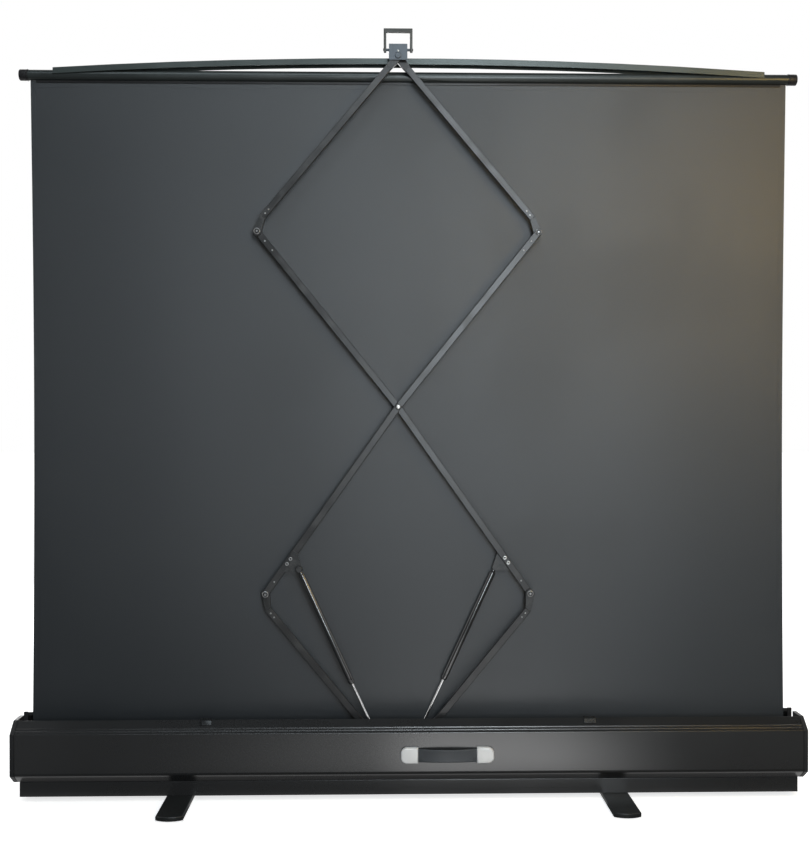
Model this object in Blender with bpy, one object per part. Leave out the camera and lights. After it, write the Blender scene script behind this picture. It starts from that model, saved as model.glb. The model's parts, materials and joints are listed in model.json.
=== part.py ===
"""Pull-up projection screen: a floor case with a spring roller and a scissor that lifts the cloth.

Metres, +Z up.  +X runs along the case, -Y is the side with the scissor and the carry handle,
+Y is the projection side.  The origin is on the floor under the middle of the case.
"""
import math

import bmesh
import bpy
from mathutils import Matrix, Vector

# Clearances, and how far a cutter runs past the piece it cuts
SEAT = 0.0003
LAYER_GAP = 0.001
RUN = 0.0005
CUT_MARGIN = 0.010

# Floor case
CASE_DEPTH = 0.140
CASE_TOP = 0.185
OPENING = 0.080
SHOULDER_DROP = 0.025
BACK_BOTTOM = 0.067
COVER_WALL = 0.002
LIP_FLANGE = 0.008
BEAD = 0.0012
BEAD_FROM_EDGE = 0.008
BEAD_STEP = 0.007
END_CAP = 0.010
END_CAP_RIM = 0.001
END_CAP_ROUND = 0.002
NOTCH_GAP = 0.003
RAIL_WIDTH = 0.084
RAIL_TOP = 0.046
RAIL_WALL = 0.0025
RAIL_SETBACK = 0.014

# Carry handle
HANDLE_X = 0.080
HANDLE_Z = 0.110
GRIP_LENGTH = 0.132
GRIP_WIDTH = 0.030
GRIP_THICK = 0.004
GRIP_BOW = 0.018
GRIP_TAIL = 0.026
HANDLE_CAP_LENGTH = 0.039
HANDLE_CAP_WIDTH = 0.036
HANDLE_CAP_HEIGHT = 0.010
HANDLE_CAP_CORNER = 0.010
HANDLE_CAP_ROUND = 0.003
HANDLE_FLOOR = 0.0025

# Swivel feet
FOOT_SPACING = 0.992
FOOT_LENGTH = 0.370
FOOT_WIDTH = 0.060
FOOT_THICK = 0.010
FOOT_END_RISE = 0.010
FOOT_EDGE = 0.0015
FOOT_COUNTERBORE = 0.0055
PAD_THICK = 0.002
PAD_RADIUS = 0.014
PAD_INSET = 0.030
FOOT_BOLT_RADIUS = 0.005
FOOT_BOLT_HEAD = 0.010

# Scissor
AXIS_X = -0.030
ARM_WIDTH = 0.015
ARM_DEPTH = 0.009
ARM_WALL = 0.0012
ARM_EDGE = 0.001
FRONT_LAYER_Y = -0.0135
BASE_PIVOT_Z = 0.036
LOWER_LINK = 0.526
LOWER_ANGLE = math.radians(54.7)
UPPER_LINK = 0.514
UPPER_ANGLE = math.radians(51.2)
FOLD = math.radians(49.0)
ROOT_OFFSET = 0.0195
LOWER_ELBOW_OFFSET = 0.0195
UPPER_ELBOW_OFFSET = 0.012
LUG_REACH = 0.034
LUG_RADIUS = 0.010
TANG = 0.028
PIN_RADIUS = 0.004
PIN_HEAD_RADIUS = 0.0075
PIN_HEAD_FLAT = 0.006
PIN_HEAD = 0.002

# Base bracket
BRACKET_PLATE = 0.003
BRACKET_WIDTH = 0.064
BRACKET_RISE = 0.014

# Gas struts
STRUT_ALONG = 0.093
STRUT_OFFSET = 0.030
STRUT_RADIUS = 0.0075
STRUT_BODY = 0.288
STRUT_WALL = 0.0012
STRUT_HEAD = 0.020
STRUT_GLAND = 0.010
ROD_RADIUS = 0.003
ROD_INSIDE = 0.030
PISTON = 0.008
ROD_EYE_RADIUS = 0.007
STRUT_PLATE = 0.0025
STRUT_PLATE_HALF = 0.026
STRUT_PLATE_INSET = 0.0015
STRUT_PIN_RADIUS = 0.003

# Crossbar
TUBE_RADIUS = 0.012
TUBE_WALL = 0.0015
TUBE_DROP = 0.038
TUBE_Y = 0.022
TUBE_CAP_LENGTH = 0.008
TUBE_CAP_RADIUS = 0.0135
TUBE_CAP_FLANGE = 0.0024
TUBE_CAP_STEP = 0.0008
TUBE_CAP_ROUND = 0.002
TUBE_SPIGOT = 0.018
BOW_INSET = 0.079
BOW_WIDTH = 0.030
BOW_HEIGHT = 0.014
BOW_WALL = 0.002
BOW_RISE = 0.026
BOW_STEPS = 24
TOP_BLOCK_WIDTH = 0.042
TOP_BLOCK_HEIGHT = 0.024
TOP_BLOCK_SLOPE = 0.009
CHEEK = 0.003
BAIL_WIDTH = 0.066
BAIL_HEIGHT = 0.048
BAIL_LEG = 0.006
BAIL_BAR = 0.009
BAIL_DEPTH = 0.010
BAIL_PIVOT_RISE = 0.016
BAIL_PIN_RADIUS = 0.003
BAIL_PIN_ROOT = 0.004

# Cloth and roller
CLOTH_WIDTH = 1.750
CLOTH_THICK = 0.0008
CLOTH_WAIST = 0.006
ROLLER_RADIUS = 0.019
ROLLER_WALL = 0.0012
ROLL_LAYERS = 0.0012
ROLLER_Z = 0.085
ROLLER_CLEAR = 0.0043
ROLLER_OVERHANG = 0.0015
ROLLER_PLUG = 0.020
ROLLER_FLANGE = 0.0046
JOURNAL_RADIUS = 0.005
JOURNAL_LENGTH = 0.008
JOURNAL_BOSS = 0.026
SPRING_RADIUS = 0.0115
SPRING_WIRE = 0.0016
SPRING_TURNS = 20
SPRING_PITCH = 0.006
SPRING_POINTS = 8

# Clips on the rear lip
CLIP_SPACING = 0.872
CLIP_WIDTH = 0.027
CLIP_THICK = 0.003
CLIP_TO_BEAD = 0.00685125
CLIP_TIP = 0.0015
CLIP_CREST = 0.0048
CLIP_CREST_SHARE = 0.4

# Derived places
RAIL_BOTTOM = PAD_THICK + FOOT_THICK + SEAT
RAIL_FLOOR = RAIL_BOTTOM + RAIL_WALL
REAR_LAYER_Y = FRONT_LAYER_Y + ARM_DEPTH + LAYER_GAP
FRONT_FACE_Y = FRONT_LAYER_Y - ARM_DEPTH / 2
REAR_FACE_Y = REAR_LAYER_Y + ARM_DEPTH / 2
CLOTH_FRONT_Y = TUBE_Y + CLOTH_THICK / 2
ROLL_RADIUS = ROLLER_RADIUS + SEAT + ROLL_LAYERS
ROLLER_Y = CLOTH_FRONT_Y + SEAT + ROLL_RADIUS
CASE_FRONT_Y = ROLLER_Y + ROLL_RADIUS + ROLLER_CLEAR + COVER_WALL
CASE_BACK_Y = CASE_FRONT_Y - CASE_DEPTH
ROLLER_HALF = CLOTH_WIDTH / 2 + ROLLER_OVERHANG
JOURNAL_IN = ROLLER_HALF + SEAT + ROLLER_FLANGE + SEAT
SHELL_HALF = JOURNAL_IN + JOURNAL_LENGTH
CASE_HALF = SHELL_HALF + SEAT + END_CAP
BOW_HALF = CASE_HALF - BOW_INSET

BASE = Vector((AXIS_X, BASE_PIVOT_Z))
LOWER_STEP = Vector((LOWER_LINK * math.cos(LOWER_ANGLE), LOWER_LINK * math.sin(LOWER_ANGLE)))
UPPER_STEP = Vector((UPPER_LINK * math.cos(UPPER_ANGLE), UPPER_LINK * math.sin(UPPER_ANGLE)))
CENTRE = BASE + Vector((0.0, 2 * LOWER_STEP.y))
TOP = CENTRE + Vector((0.0, 2 * UPPER_STEP.y))
TUBE_Z = TOP.y - TUBE_DROP
FOLDED_TUBE_Z = (
    BASE_PIVOT_Z
    + 2 * LOWER_LINK * math.sin(LOWER_ANGLE - FOLD)
    + 2 * UPPER_LINK * math.sin(UPPER_ANGLE - FOLD)
    - TUBE_DROP
)
BOW_TOP = TUBE_Z + TUBE_RADIUS + SEAT + BOW_WALL + BOW_RISE
SIDES = (("left", -1), ("right", 1))
PIVOT_DISPLAY = 0.03


def elbow(stage, sign):
    """Pivot of a lower or upper elbow, as X and Z."""
    start = BASE if stage == "lower" else CENTRE
    step = LOWER_STEP if stage == "lower" else UPPER_STEP
    return start + Vector((sign * step.x, step.y))


def layer_of(kind, sign):
    """Middle of the layer that an arm lies in: a long arm starts at its side's lower elbow."""
    front = {"long": sign < 0, "lower": sign > 0, "upper": sign < 0}[kind]
    return FRONT_LAYER_Y if front else REAR_LAYER_Y


# Materials
FINISHES = {
    "black_paint": ((0.020, 0.020, 0.021), 0.38, 0.2),
    "black_plastic": ((0.015, 0.015, 0.015), 0.45, 0.0),
    "grey_arm": ((0.16, 0.16, 0.155), 0.36, 0.6),
    "dark_bar": ((0.045, 0.046, 0.048), 0.35, 0.4),
    "steel": ((0.55, 0.55, 0.54), 0.30, 1.0),
    "chrome": ((0.80, 0.80, 0.80), 0.12, 1.0),
    "strut_black": ((0.02, 0.02, 0.022), 0.30, 0.1),
    "silver_plastic": ((0.74, 0.74, 0.74), 0.35, 0.3),
    "grip_rubber": ((0.045, 0.050, 0.058), 0.60, 0.0),
    "foot_rubber": ((0.02, 0.02, 0.02), 0.80, 0.0),
    "screen_cloth": ((0.045, 0.048, 0.052), 0.75, 0.0),
}


def material(finish):
    """Principled material for one named finish, made on first use."""
    found = bpy.data.materials.get(finish)
    if found:
        return found
    colour, roughness, metallic = FINISHES[finish]
    made = bpy.data.materials.new(finish)
    made.use_nodes = True
    shader = made.node_tree.nodes["Principled BSDF"]
    shader.inputs["Base Color"].default_value = (*colour, 1.0)
    shader.inputs["Roughness"].default_value = roughness
    shader.inputs["Metallic"].default_value = metallic
    return made


# Parents: one empty on each joint's axis
def pivot_empty(name, place, parent=None):
    """Empty on a joint's axis; pieces of that body hang from it."""
    empty = bpy.data.objects.new(name, None)
    empty.empty_display_size = PIVOT_DISPLAY
    bpy.context.scene.collection.objects.link(empty)
    empty.location = place
    if parent is not None:
        empty.parent = parent
        empty.matrix_parent_inverse = parent.matrix_world.inverted()
    bpy.context.view_layer.update()
    return empty


def finish_object(name, mesh_data, finish, parent, smooth_angle=math.radians(35)):
    """Object from a bmesh, with its material, shading and parent."""
    bmesh.ops.recalc_face_normals(mesh_data, faces=mesh_data.faces)
    mesh = bpy.data.meshes.new(name)
    mesh_data.to_mesh(mesh)
    mesh_data.free()
    mesh.shade_smooth()
    mesh.set_sharp_from_angle(angle=smooth_angle)
    mesh.materials.append(material(finish))
    piece = bpy.data.objects.new(name, mesh)
    bpy.context.scene.collection.objects.link(piece)
    if parent is not None:
        piece.parent = parent
        piece.matrix_parent_inverse = parent.matrix_world.inverted()
    return piece


# Mesh helpers
AXES = {
    "X": Matrix(((0, 0, 1, 0), (1, 0, 0, 0), (0, 1, 0, 0), (0, 0, 0, 1))),
    "Y": Matrix(((1, 0, 0, 0), (0, 0, 1, 0), (0, 1, 0, 0), (0, 0, 0, 1))),
    "Z": Matrix.Identity(4),
}


def prism(mesh_data, outline, axis, start, end):
    """Extrude a flat outline along an axis; an X outline is (Y, Z), a Y outline is (X, Z)."""
    turn = AXES[axis]
    verts = [mesh_data.verts.new(turn @ Vector((u, v, start))) for u, v in outline]
    face = mesh_data.faces.new(verts)
    grown = bmesh.ops.extrude_face_region(mesh_data, geom=[face])["geom"]
    moved = [item for item in grown if isinstance(item, bmesh.types.BMVert)]
    bmesh.ops.translate(mesh_data, verts=moved, vec=turn.to_3x3() @ Vector((0, 0, end - start)))
    return [item for item in grown if isinstance(item, bmesh.types.BMFace)][0], face


def cylinder(mesh_data, axis, centre, radius, start, end, sides=20):
    """Closed cylinder; centre is the outline position across the axis."""
    prism(mesh_data, circle(centre, radius, sides), axis, start, end)


def turned(mesh_data, profile, place, sides=24):
    """Revolve a (radius, height) profile about Z, then put it at a place by a matrix.

    A profile that starts and ends on the axis is left open there; any other is a closed ring.
    """
    shape = bmesh.new()
    verts = [shape.verts.new((r, 0.0, h)) for r, h in profile]
    pairs = list(zip(verts, verts[1:]))
    if profile[0][0] > 0.0:
        pairs.append((verts[-1], verts[0]))
    edges = [shape.edges.new(pair) for pair in pairs]
    bmesh.ops.spin(
        shape, geom=verts + edges, cent=(0, 0, 0), axis=(0, 0, 1), angle=math.tau, steps=sides, use_merge=True
    )
    bmesh.ops.remove_doubles(shape, verts=shape.verts, dist=1e-6)
    bmesh.ops.transform(shape, matrix=place, verts=shape.verts)
    turned_mesh = bpy.data.meshes.new("turned")
    shape.to_mesh(turned_mesh)
    shape.free()
    mesh_data.from_mesh(turned_mesh)
    bpy.data.meshes.remove(turned_mesh)


def offset_path(path, distance):
    """Open path moved sideways to its left by a distance, with mitred corners."""
    moved = []
    for i, point in enumerate(path):
        normals = []
        for a, b in ((i - 1, i), (i, i + 1)):
            if a >= 0 and b < len(path):
                along = (Vector(path[b]) - Vector(path[a])).normalized()
                normals.append(Vector((-along.y, along.x)))
        mean = sum(normals, Vector((0, 0))).normalized()
        moved.append(tuple(Vector(point) + mean * (distance / mean.dot(normals[0]))))
    return moved


def arc(centre, radius, start, end, steps):
    """Points on an arc, in degrees, both ends included."""
    angles = [math.radians(start + (end - start) * i / steps) for i in range(steps + 1)]
    return [(centre[0] + radius * math.cos(a), centre[1] + radius * math.sin(a)) for a in angles]


def circle(centre, radius, sides):
    """Points of a whole circle."""
    return arc(centre, radius, 0, 360 - 360 / sides, sides - 1)


def rectangle(across, upright):
    """Corners of a rectangle from its two ranges."""
    low, high = upright
    return [(across[0], low), (across[1], low), (across[1], high), (across[0], high)]


def tube_profile(outer, inner, half):
    """Closed half section of a plain tube, for turning."""
    return [(outer, -half), (outer, half), (inner, half), (inner, -half)]


def hull(points):
    """Convex outline round a set of points, counter-clockwise."""
    ordered = sorted(set((round(x, 9), round(y, 9)) for x, y in points))

    def half(sequence):
        chain = []
        for p in sequence:
            while len(chain) > 1:
                a, b = chain[-2], chain[-1]
                if (b[0] - a[0]) * (p[1] - a[1]) - (b[1] - a[1]) * (p[0] - a[0]) > 1e-12:
                    break
                chain.pop()
            chain.append(p)
        return chain[:-1]

    return half(ordered) + half(ordered[::-1])


def bevel_edges(mesh_data, edges, width, segments=1):
    """Round chosen edges."""
    bmesh.ops.bevel(
        mesh_data, geom=edges, offset=width, segments=segments, profile=0.5, affect="EDGES", material=-1
    )


def drill(piece, axis, holes):
    """Cut round holes; each hole is (centre, radius, start, end) along the axis."""
    cutter_mesh = bmesh.new()
    for centre, radius, start, end in holes:
        cylinder(cutter_mesh, axis, centre, radius, start, end, sides=20)
    return cut(piece, cutter_mesh)


def cut(piece, cutter_mesh):
    """Subtract a bmesh from a piece with a live Boolean."""
    bmesh.ops.recalc_face_normals(cutter_mesh, faces=cutter_mesh.faces)
    mesh = bpy.data.meshes.new(piece.name + "_cutter")
    cutter_mesh.to_mesh(mesh)
    cutter_mesh.free()
    cutter = bpy.data.objects.new(piece.name + "_cutter", mesh)
    bpy.context.scene.collection.objects.link(cutter)
    cutter.hide_render = True
    cutter.display_type = "WIRE"
    boolean = piece.modifiers.new("holes", "BOOLEAN")
    boolean.operation = "DIFFERENCE"
    boolean.solver = "EXACT"
    boolean.object = cutter
    return piece


# Floor case
def cover_outline(side):
    """Closed (Y, Z) section of a case cover: lip flange, beaded shoulder, wall and lower chamfer."""
    half = CASE_FRONT_Y if side > 0 else -CASE_BACK_Y
    lip = OPENING / 2
    shoulder = CASE_TOP - SHOULDER_DROP
    outer = [
        (lip, CASE_TOP - LIP_FLANGE),
        (lip, CASE_TOP),
        (half, shoulder),
        (half, BACK_BOTTOM),
        (RAIL_WIDTH / 2, RAIL_TOP + SEAT),
    ]
    inner = offset_path(outer, -COVER_WALL)
    edge = Vector((half, shoulder))
    run = (edge - Vector((lip, CASE_TOP))).normalized()
    lift = Vector((-run.y, run.x))
    beads = []
    for from_edge in (BEAD_FROM_EDGE + BEAD_STEP, BEAD_FROM_EDGE):
        foot = edge - run * from_edge
        for along, up in ((-1, 0), (-0.5, 1), (0.5, 1), (1, 0)):
            beads.append(tuple(foot + run * BEAD * along + lift * BEAD * up))
    outer = outer[:2] + beads + outer[2:]
    return [(side * y, z) for y, z in outer + inner[::-1]]


def make_case(root):
    """Covers, base plate between two skirts, and end caps with the roller's journal bosses."""
    for name, side in (("rear_cover", -1), ("front_cover", 1)):
        shell = bmesh.new()
        prism(shell, cover_outline(side), "X", -SHELL_HALF, SHELL_HALF)
        finish_object(name, shell, "black_paint", root)

    rail_half = RAIL_WIDTH / 2
    rail_end = CASE_HALF - RAIL_SETBACK
    for name, side in (("rear_skirt", -1), ("front_skirt", 1)):
        skirt = bmesh.new()
        span = sorted((side * rail_half, side * (rail_half - RAIL_WALL)))
        prism(skirt, rectangle(span, (RAIL_BOTTOM, RAIL_TOP)), "X", -rail_end, rail_end)
        finish_object(name, skirt, "black_paint", root)
    plate_half = rail_half - RAIL_WALL - SEAT
    plate = bmesh.new()
    prism(plate, rectangle((-plate_half, plate_half), (RAIL_BOTTOM, RAIL_FLOOR)), "X", -rail_end, rail_end)
    plate_piece = finish_object("base_plate", plate, "black_paint", root)
    hole = FOOT_BOLT_RADIUS + SEAT
    low, high = RAIL_BOTTOM - CUT_MARGIN, RAIL_FLOOR + CUT_MARGIN
    drill(plate_piece, "Z", [((foot_x(sign), 0.0), hole, low, high) for _, sign in SIDES])

    front, back = CASE_FRONT_Y + END_CAP_RIM, CASE_BACK_Y - END_CAP_RIM
    lip = OPENING / 2
    cap_outline = [
        (lip, CASE_TOP + END_CAP_RIM),
        (front, CASE_TOP - SHOULDER_DROP + END_CAP_RIM / 2),
        (front, BACK_BOTTOM - END_CAP_RIM / 2),
        (rail_half, RAIL_TOP + SEAT),
        (-rail_half, RAIL_TOP + SEAT),
        (back, BACK_BOTTOM - END_CAP_RIM / 2),
        (back, CASE_TOP - SHOULDER_DROP + END_CAP_RIM / 2),
        (-lip, CASE_TOP + END_CAP_RIM),
    ]
    notch = TUBE_CAP_RADIUS + NOTCH_GAP
    for name, sign in SIDES:
        cap = bmesh.new()
        inner_x = sign * (CASE_HALF - END_CAP)
        outer_x = sign * CASE_HALF
        outer_face, _ = prism(cap, cap_outline, "X", inner_x, outer_x)
        bevel_edges(cap, list(outer_face.edges), END_CAP_ROUND, 2)
        cap_piece = finish_object(f"end_cap_{name}", cap, "black_plastic", root)
        slot = bmesh.new()
        u_shape = arc((TUBE_Y, FOLDED_TUBE_Z), notch, 180, 360, 12)
        over = CASE_TOP + END_CAP_RIM + CUT_MARGIN
        u_shape += [(TUBE_Y + notch, over), (TUBE_Y - notch, over)]
        reach = sorted((inner_x - sign * CUT_MARGIN, outer_x + sign * CUT_MARGIN))
        prism(slot, u_shape, "X", *reach)
        cut(cap_piece, slot)
        boss = bmesh.new()
        square = JOURNAL_BOSS / 2
        across = (ROLLER_Y - square, ROLLER_Y + square)
        upright = (ROLLER_Z - square, ROLLER_Z + square)
        ends = sorted((sign * JOURNAL_IN, inner_x + sign * END_CAP / 2))
        prism(boss, rectangle(across, upright), "X", *ends)
        join(cap_piece, boss)
        socket = sorted((sign * (JOURNAL_IN - CUT_MARGIN), sign * (SHELL_HALF + RUN)))
        drill(cap_piece, "X", [((ROLLER_Y, ROLLER_Z), JOURNAL_RADIUS + SEAT, *socket)])


# Carry handle
def strap_y(x):
    """Outward bow of the grip: level inside its end caps, furthest out at the middle."""
    seat = CASE_BACK_Y - HANDLE_FLOOR - SEAT - GRIP_THICK / 2
    share = max(-1.0, min(1.0, 2 * x / GRIP_LENGTH))
    return seat - GRIP_BOW * (1 + math.cos(math.pi * share)) / 2


def make_handle(root):
    """Grip strap held in two end caps on the rear cover."""
    steps = 20
    reach = GRIP_LENGTH / 2 + GRIP_TAIL
    grip = bmesh.new()
    line = [(-reach + 2 * reach * i / steps) for i in range(steps + 1)]
    near = [(HANDLE_X + x, strap_y(x) - GRIP_THICK / 2) for x in line]
    far = [(HANDLE_X + x, strap_y(x) + GRIP_THICK / 2) for x in line]
    half = GRIP_WIDTH / 2
    prism(grip, near + far[::-1], "Z", HANDLE_Z - half, HANDLE_Z + half)
    finish_object("handle_grip", grip, "grip_rubber", root)

    back = CASE_BACK_Y - SEAT
    for name, sign in SIDES:
        start = HANDLE_X + sign * (GRIP_LENGTH / 2)
        width = HANDLE_CAP_WIDTH / 2
        radius = HANDLE_CAP_CORNER
        end = start + sign * HANDLE_CAP_LENGTH
        corner = end - sign * radius
        outline = [(start, HANDLE_Z - width)]
        quarter = arc((0, 0), radius, -90, 0, 5)
        outline += [(corner + sign * u, HANDLE_Z - width + radius + v) for u, v in quarter]
        outline += [(corner + sign * u, HANDLE_Z + width - radius - v) for u, v in quarter[::-1]]
        outline += [(start, HANDLE_Z + width)]
        cap = bmesh.new()
        outer, _ = prism(cap, outline, "Y", back, back - HANDLE_CAP_HEIGHT)
        bevel_edges(cap, list(outer.edges), HANDLE_CAP_ROUND, 2)
        cap_piece = finish_object(f"handle_cap_{name}", cap, "silver_plastic", root)
        pocket = bmesh.new()
        strap_seat = strap_y(GRIP_LENGTH)
        low = strap_seat - GRIP_THICK / 2 - SEAT
        high = strap_seat + GRIP_THICK / 2 + SEAT
        reach = sorted((start - sign * CUT_MARGIN, start + sign * (GRIP_TAIL + SEAT)))
        prism(pocket, rectangle(reach, (low, high)), "Z", HANDLE_Z - half - SEAT, HANDLE_Z + half + SEAT)
        cut(cap_piece, pocket)


# Swivel feet
def foot_x(sign):
    """Foot bolt position along the case."""
    return AXIS_X + sign * FOOT_SPACING / 2


def make_feet(root):
    """Two bars that turn on a bolt under the rail, with rubber pads."""
    for name, sign in SIDES:
        x = foot_x(sign)
        swivel = pivot_empty(f"foot_{name}_pivot", (x, 0.0, RAIL_BOTTOM), root)
        end_radius = (FOOT_WIDTH**2 / 4 + FOOT_END_RISE**2) / (2 * FOOT_END_RISE)
        spread = math.degrees(math.asin(FOOT_WIDTH / 2 / end_radius))
        far = arc((x, FOOT_LENGTH / 2 - end_radius), end_radius, 90 - spread, 90 + spread, 8)
        near = arc((x, end_radius - FOOT_LENGTH / 2), end_radius, 270 - spread, 270 + spread, 8)
        bar = bmesh.new()
        top, _ = prism(bar, far + near, "Z", PAD_THICK, PAD_THICK + FOOT_THICK)
        bevel_edges(bar, list(top.edges), FOOT_EDGE, 1)
        bar_piece = finish_object(f"foot_{name}", bar, "black_paint", swivel)
        head_top = PAD_THICK + FOOT_COUNTERBORE
        drill(bar_piece, "Z", [((x, 0.0), FOOT_BOLT_HEAD + RUN, -FOOT_THICK, head_top + SEAT)])
        drill(bar_piece, "Z", [((x, 0.0), FOOT_BOLT_RADIUS + SEAT, 0.0, RAIL_TOP)])
        nut_low = RAIL_FLOOR + SEAT
        nut_high = nut_low + FOOT_BOLT_RADIUS
        profile = [
            (0.0, PAD_THICK + RUN),
            (FOOT_BOLT_HEAD, PAD_THICK + RUN),
            (FOOT_BOLT_HEAD, head_top),
            (FOOT_BOLT_RADIUS, head_top),
            (FOOT_BOLT_RADIUS, nut_low),
            (FOOT_BOLT_HEAD, nut_low),
            (FOOT_BOLT_HEAD, nut_high),
            (0.0, nut_high),
        ]
        bolt = bmesh.new()
        turned(bolt, profile, Matrix.Translation((x, 0.0, 0.0)), 16)
        finish_object(f"foot_bolt_{name}", bolt, "steel", root)
        for end_name, end in (("rear", -1), ("front", 1)):
            pad = bmesh.new()
            place = end * (FOOT_LENGTH / 2 - PAD_INSET)
            cylinder(pad, "Z", (x, place), PAD_RADIUS, 0.0, PAD_THICK - SEAT, 20)
            finish_object(f"foot_pad_{name}_{end_name}", pad, "foot_rubber", swivel)


# Scissor arms
def arm_frame(point, along, layer):
    """Matrix of an arm's own axes: X along the arm, Y across it in the scissor's plane, Z towards -Y."""
    across = Vector((-along.y, along.x))
    return Matrix(
        (
            (along.x, across.x, 0.0, point.x),
            (0.0, 0.0, -1.0, layer),
            (along.y, across.y, 0.0, point.y),
            (0.0, 0.0, 0.0, 1.0),
        )
    )


def short_arm_line(start, end, start_offset, end_offset, outward):
    """Line of a short arm: it passes its two pivots at set distances on the outward side."""
    chord = (end - start).normalized()
    side = Vector((-chord.y, chord.x)) * outward
    first = start + side * start_offset
    last = end + side * end_offset
    return first, (last - first).normalized(), (last - first).length


def make_lug(name, frame, pivot_local, seat_u, inward, finish, parent, layer):
    """Flat lug with an eye on the pivot and a tang that plugs into the arm's tube."""
    half = ARM_WIDTH / 2
    eye = circle(tuple(pivot_local), LUG_RADIUS, 24)
    seat = [(seat_u, -half), (seat_u, half)]
    lug = bmesh.new()
    prism(lug, hull(eye + seat), "Z", -ARM_DEPTH / 2, ARM_DEPTH / 2)
    end_face = max(lug.faces, key=lambda f: inward * f.calc_center_median().x)
    inset = ARM_WALL + SEAT
    bmesh.ops.inset_individual(lug, faces=[end_face], thickness=inset, use_even_offset=True)
    grown = bmesh.ops.extrude_face_region(lug, geom=[end_face])["geom"]
    bmesh.ops.delete(lug, geom=[end_face], context="FACES_ONLY")
    moved = [item for item in grown if isinstance(item, bmesh.types.BMVert)]
    bmesh.ops.translate(lug, verts=moved, vec=(inward * TANG, 0.0, 0.0))
    bmesh.ops.transform(lug, matrix=frame, verts=lug.verts)
    piece = finish_object(name, lug, finish, parent)
    place = frame @ Vector((pivot_local.x, pivot_local.y, 0.0))
    reach = ARM_DEPTH
    drill(piece, "Y", [((place.x, place.z), PIN_RADIUS + SEAT, layer - reach, layer + reach)])


def make_tube_arm(name, frame, start, end, parent):
    """Hollow rectangular tube along an arm's own X axis."""
    half_w, half_d = ARM_WIDTH / 2, ARM_DEPTH / 2
    tube = bmesh.new()
    bore_w, bore_d = half_w - ARM_WALL, half_d - ARM_WALL
    corners = ((-1, -1), (1, -1), (1, 1), (-1, 1))
    outer_verts = [tube.verts.new((start, u * half_w, v * half_d)) for u, v in corners]
    inner_verts = [tube.verts.new((start, u * bore_w, v * bore_d)) for u, v in corners]
    ring = []
    for i in range(4):
        j = (i + 1) % 4
        ring.append(tube.faces.new((outer_verts[i], outer_verts[j], inner_verts[j], inner_verts[i])))
    grown = bmesh.ops.extrude_face_region(tube, geom=ring)["geom"]
    moved = [item for item in grown if isinstance(item, bmesh.types.BMVert)]
    bmesh.ops.translate(tube, verts=moved, vec=(end - start, 0.0, 0.0))
    long_edges = [
        e
        for e in tube.edges
        if abs(e.verts[0].co.x - e.verts[1].co.x) > (end - start) / 2 and abs(e.verts[0].co.y) > half_w - 1e-6
    ]
    bevel_edges(tube, long_edges, min(ARM_EDGE, ARM_WALL), 2)
    bmesh.ops.transform(tube, matrix=frame, verts=tube.verts)
    return finish_object(name, tube, "grey_arm", parent)


def make_short_arm(stage, name, sign, parent):
    """Lower or upper short arm: tube, elbow lug and root or head lug."""
    layer = layer_of(stage, sign)
    if stage == "lower":
        start, end = BASE, elbow("lower", sign)
        offsets = (-ROOT_OFFSET, LOWER_ELBOW_OFFSET)
        ends = (f"lower_root_{name}", f"lower_elbow_{name}")
    else:
        start, end = elbow("upper", sign), TOP
        offsets = (UPPER_ELBOW_OFFSET, 0.0)
        ends = (f"upper_elbow_{name}", f"upper_head_{name}")
    first, along, length = short_arm_line(start, end, *offsets, -sign)
    frame = arm_frame(first, along, layer)
    across = Vector((-along.y, along.x))
    start_local = Vector(((start - first).dot(along), (start - first).dot(across)))
    end_local = Vector(((end - first).dot(along), (end - first).dot(across)))
    seat_a, seat_b = LUG_REACH, length - LUG_REACH
    make_tube_arm(f"{stage}_arm_{name}", frame, seat_a + SEAT, seat_b - SEAT, parent)
    make_lug(ends[0], frame, start_local, seat_a, 1, "steel", parent, layer)
    make_lug(ends[1], frame, end_local, seat_b, -1, "steel", parent, layer)


def make_long_arm(name, sign, parent):
    """Long arm from its lower elbow through the centre to the opposite upper elbow."""
    layer = layer_of("long", sign)
    half = ARM_WIDTH / 2
    points = [elbow("lower", sign), CENTRE, elbow("upper", -sign)]
    path = [tuple(p) for p in points]
    left_side = offset_path(path, half)
    right_side = offset_path(path, -half)
    first = (points[1] - points[0]).normalized()
    last = (points[2] - points[1]).normalized()
    first_deg = math.degrees(math.atan2(first.y, first.x))
    last_deg = math.degrees(math.atan2(last.y, last.x))
    head = arc(path[2], half, last_deg - 90, last_deg + 90, 8)
    tail = arc(path[0], half, first_deg + 90, first_deg + 270, 8)
    outline = head + [left_side[1]] + tail + [right_side[1]]
    bar = bmesh.new()
    faces = prism(bar, outline, "Y", layer - ARM_DEPTH / 2, layer + ARM_DEPTH / 2)
    rims = [e for face in faces for e in face.edges]
    bevel_edges(bar, rims, ARM_EDGE, 1)
    piece = finish_object(f"long_arm_{name}", bar, "grey_arm", parent)
    drill(piece, "Y", [(p, PIN_RADIUS + SEAT, layer - ARM_DEPTH, layer + ARM_DEPTH) for p in path])


def pin_profile(low, high, heads, radius):
    """Half section of a pin from low to high, with a domed head on each side that asks for one."""

    def end_points(face, way, headed):
        """Points of one end, from the axis out to the shank."""
        if not headed:
            return [(0.0, face), (radius, face)]
        seat = face + way * SEAT
        outer = seat + way * PIN_HEAD
        edge = seat + way * PIN_HEAD / 2
        crown = [(0.0, outer), (PIN_HEAD_FLAT, outer), (PIN_HEAD_RADIUS, edge)]
        return crown + [(PIN_HEAD_RADIUS, seat), (radius, seat)]

    return end_points(low, -1, heads[0]) + end_points(high, 1, heads[1])[::-1]


def pin_place(point):
    """Matrix that lays a turned pin along Y at a pivot."""
    return Matrix.Translation((point.x, 0.0, point.y)) @ AXES["Y"]


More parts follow.
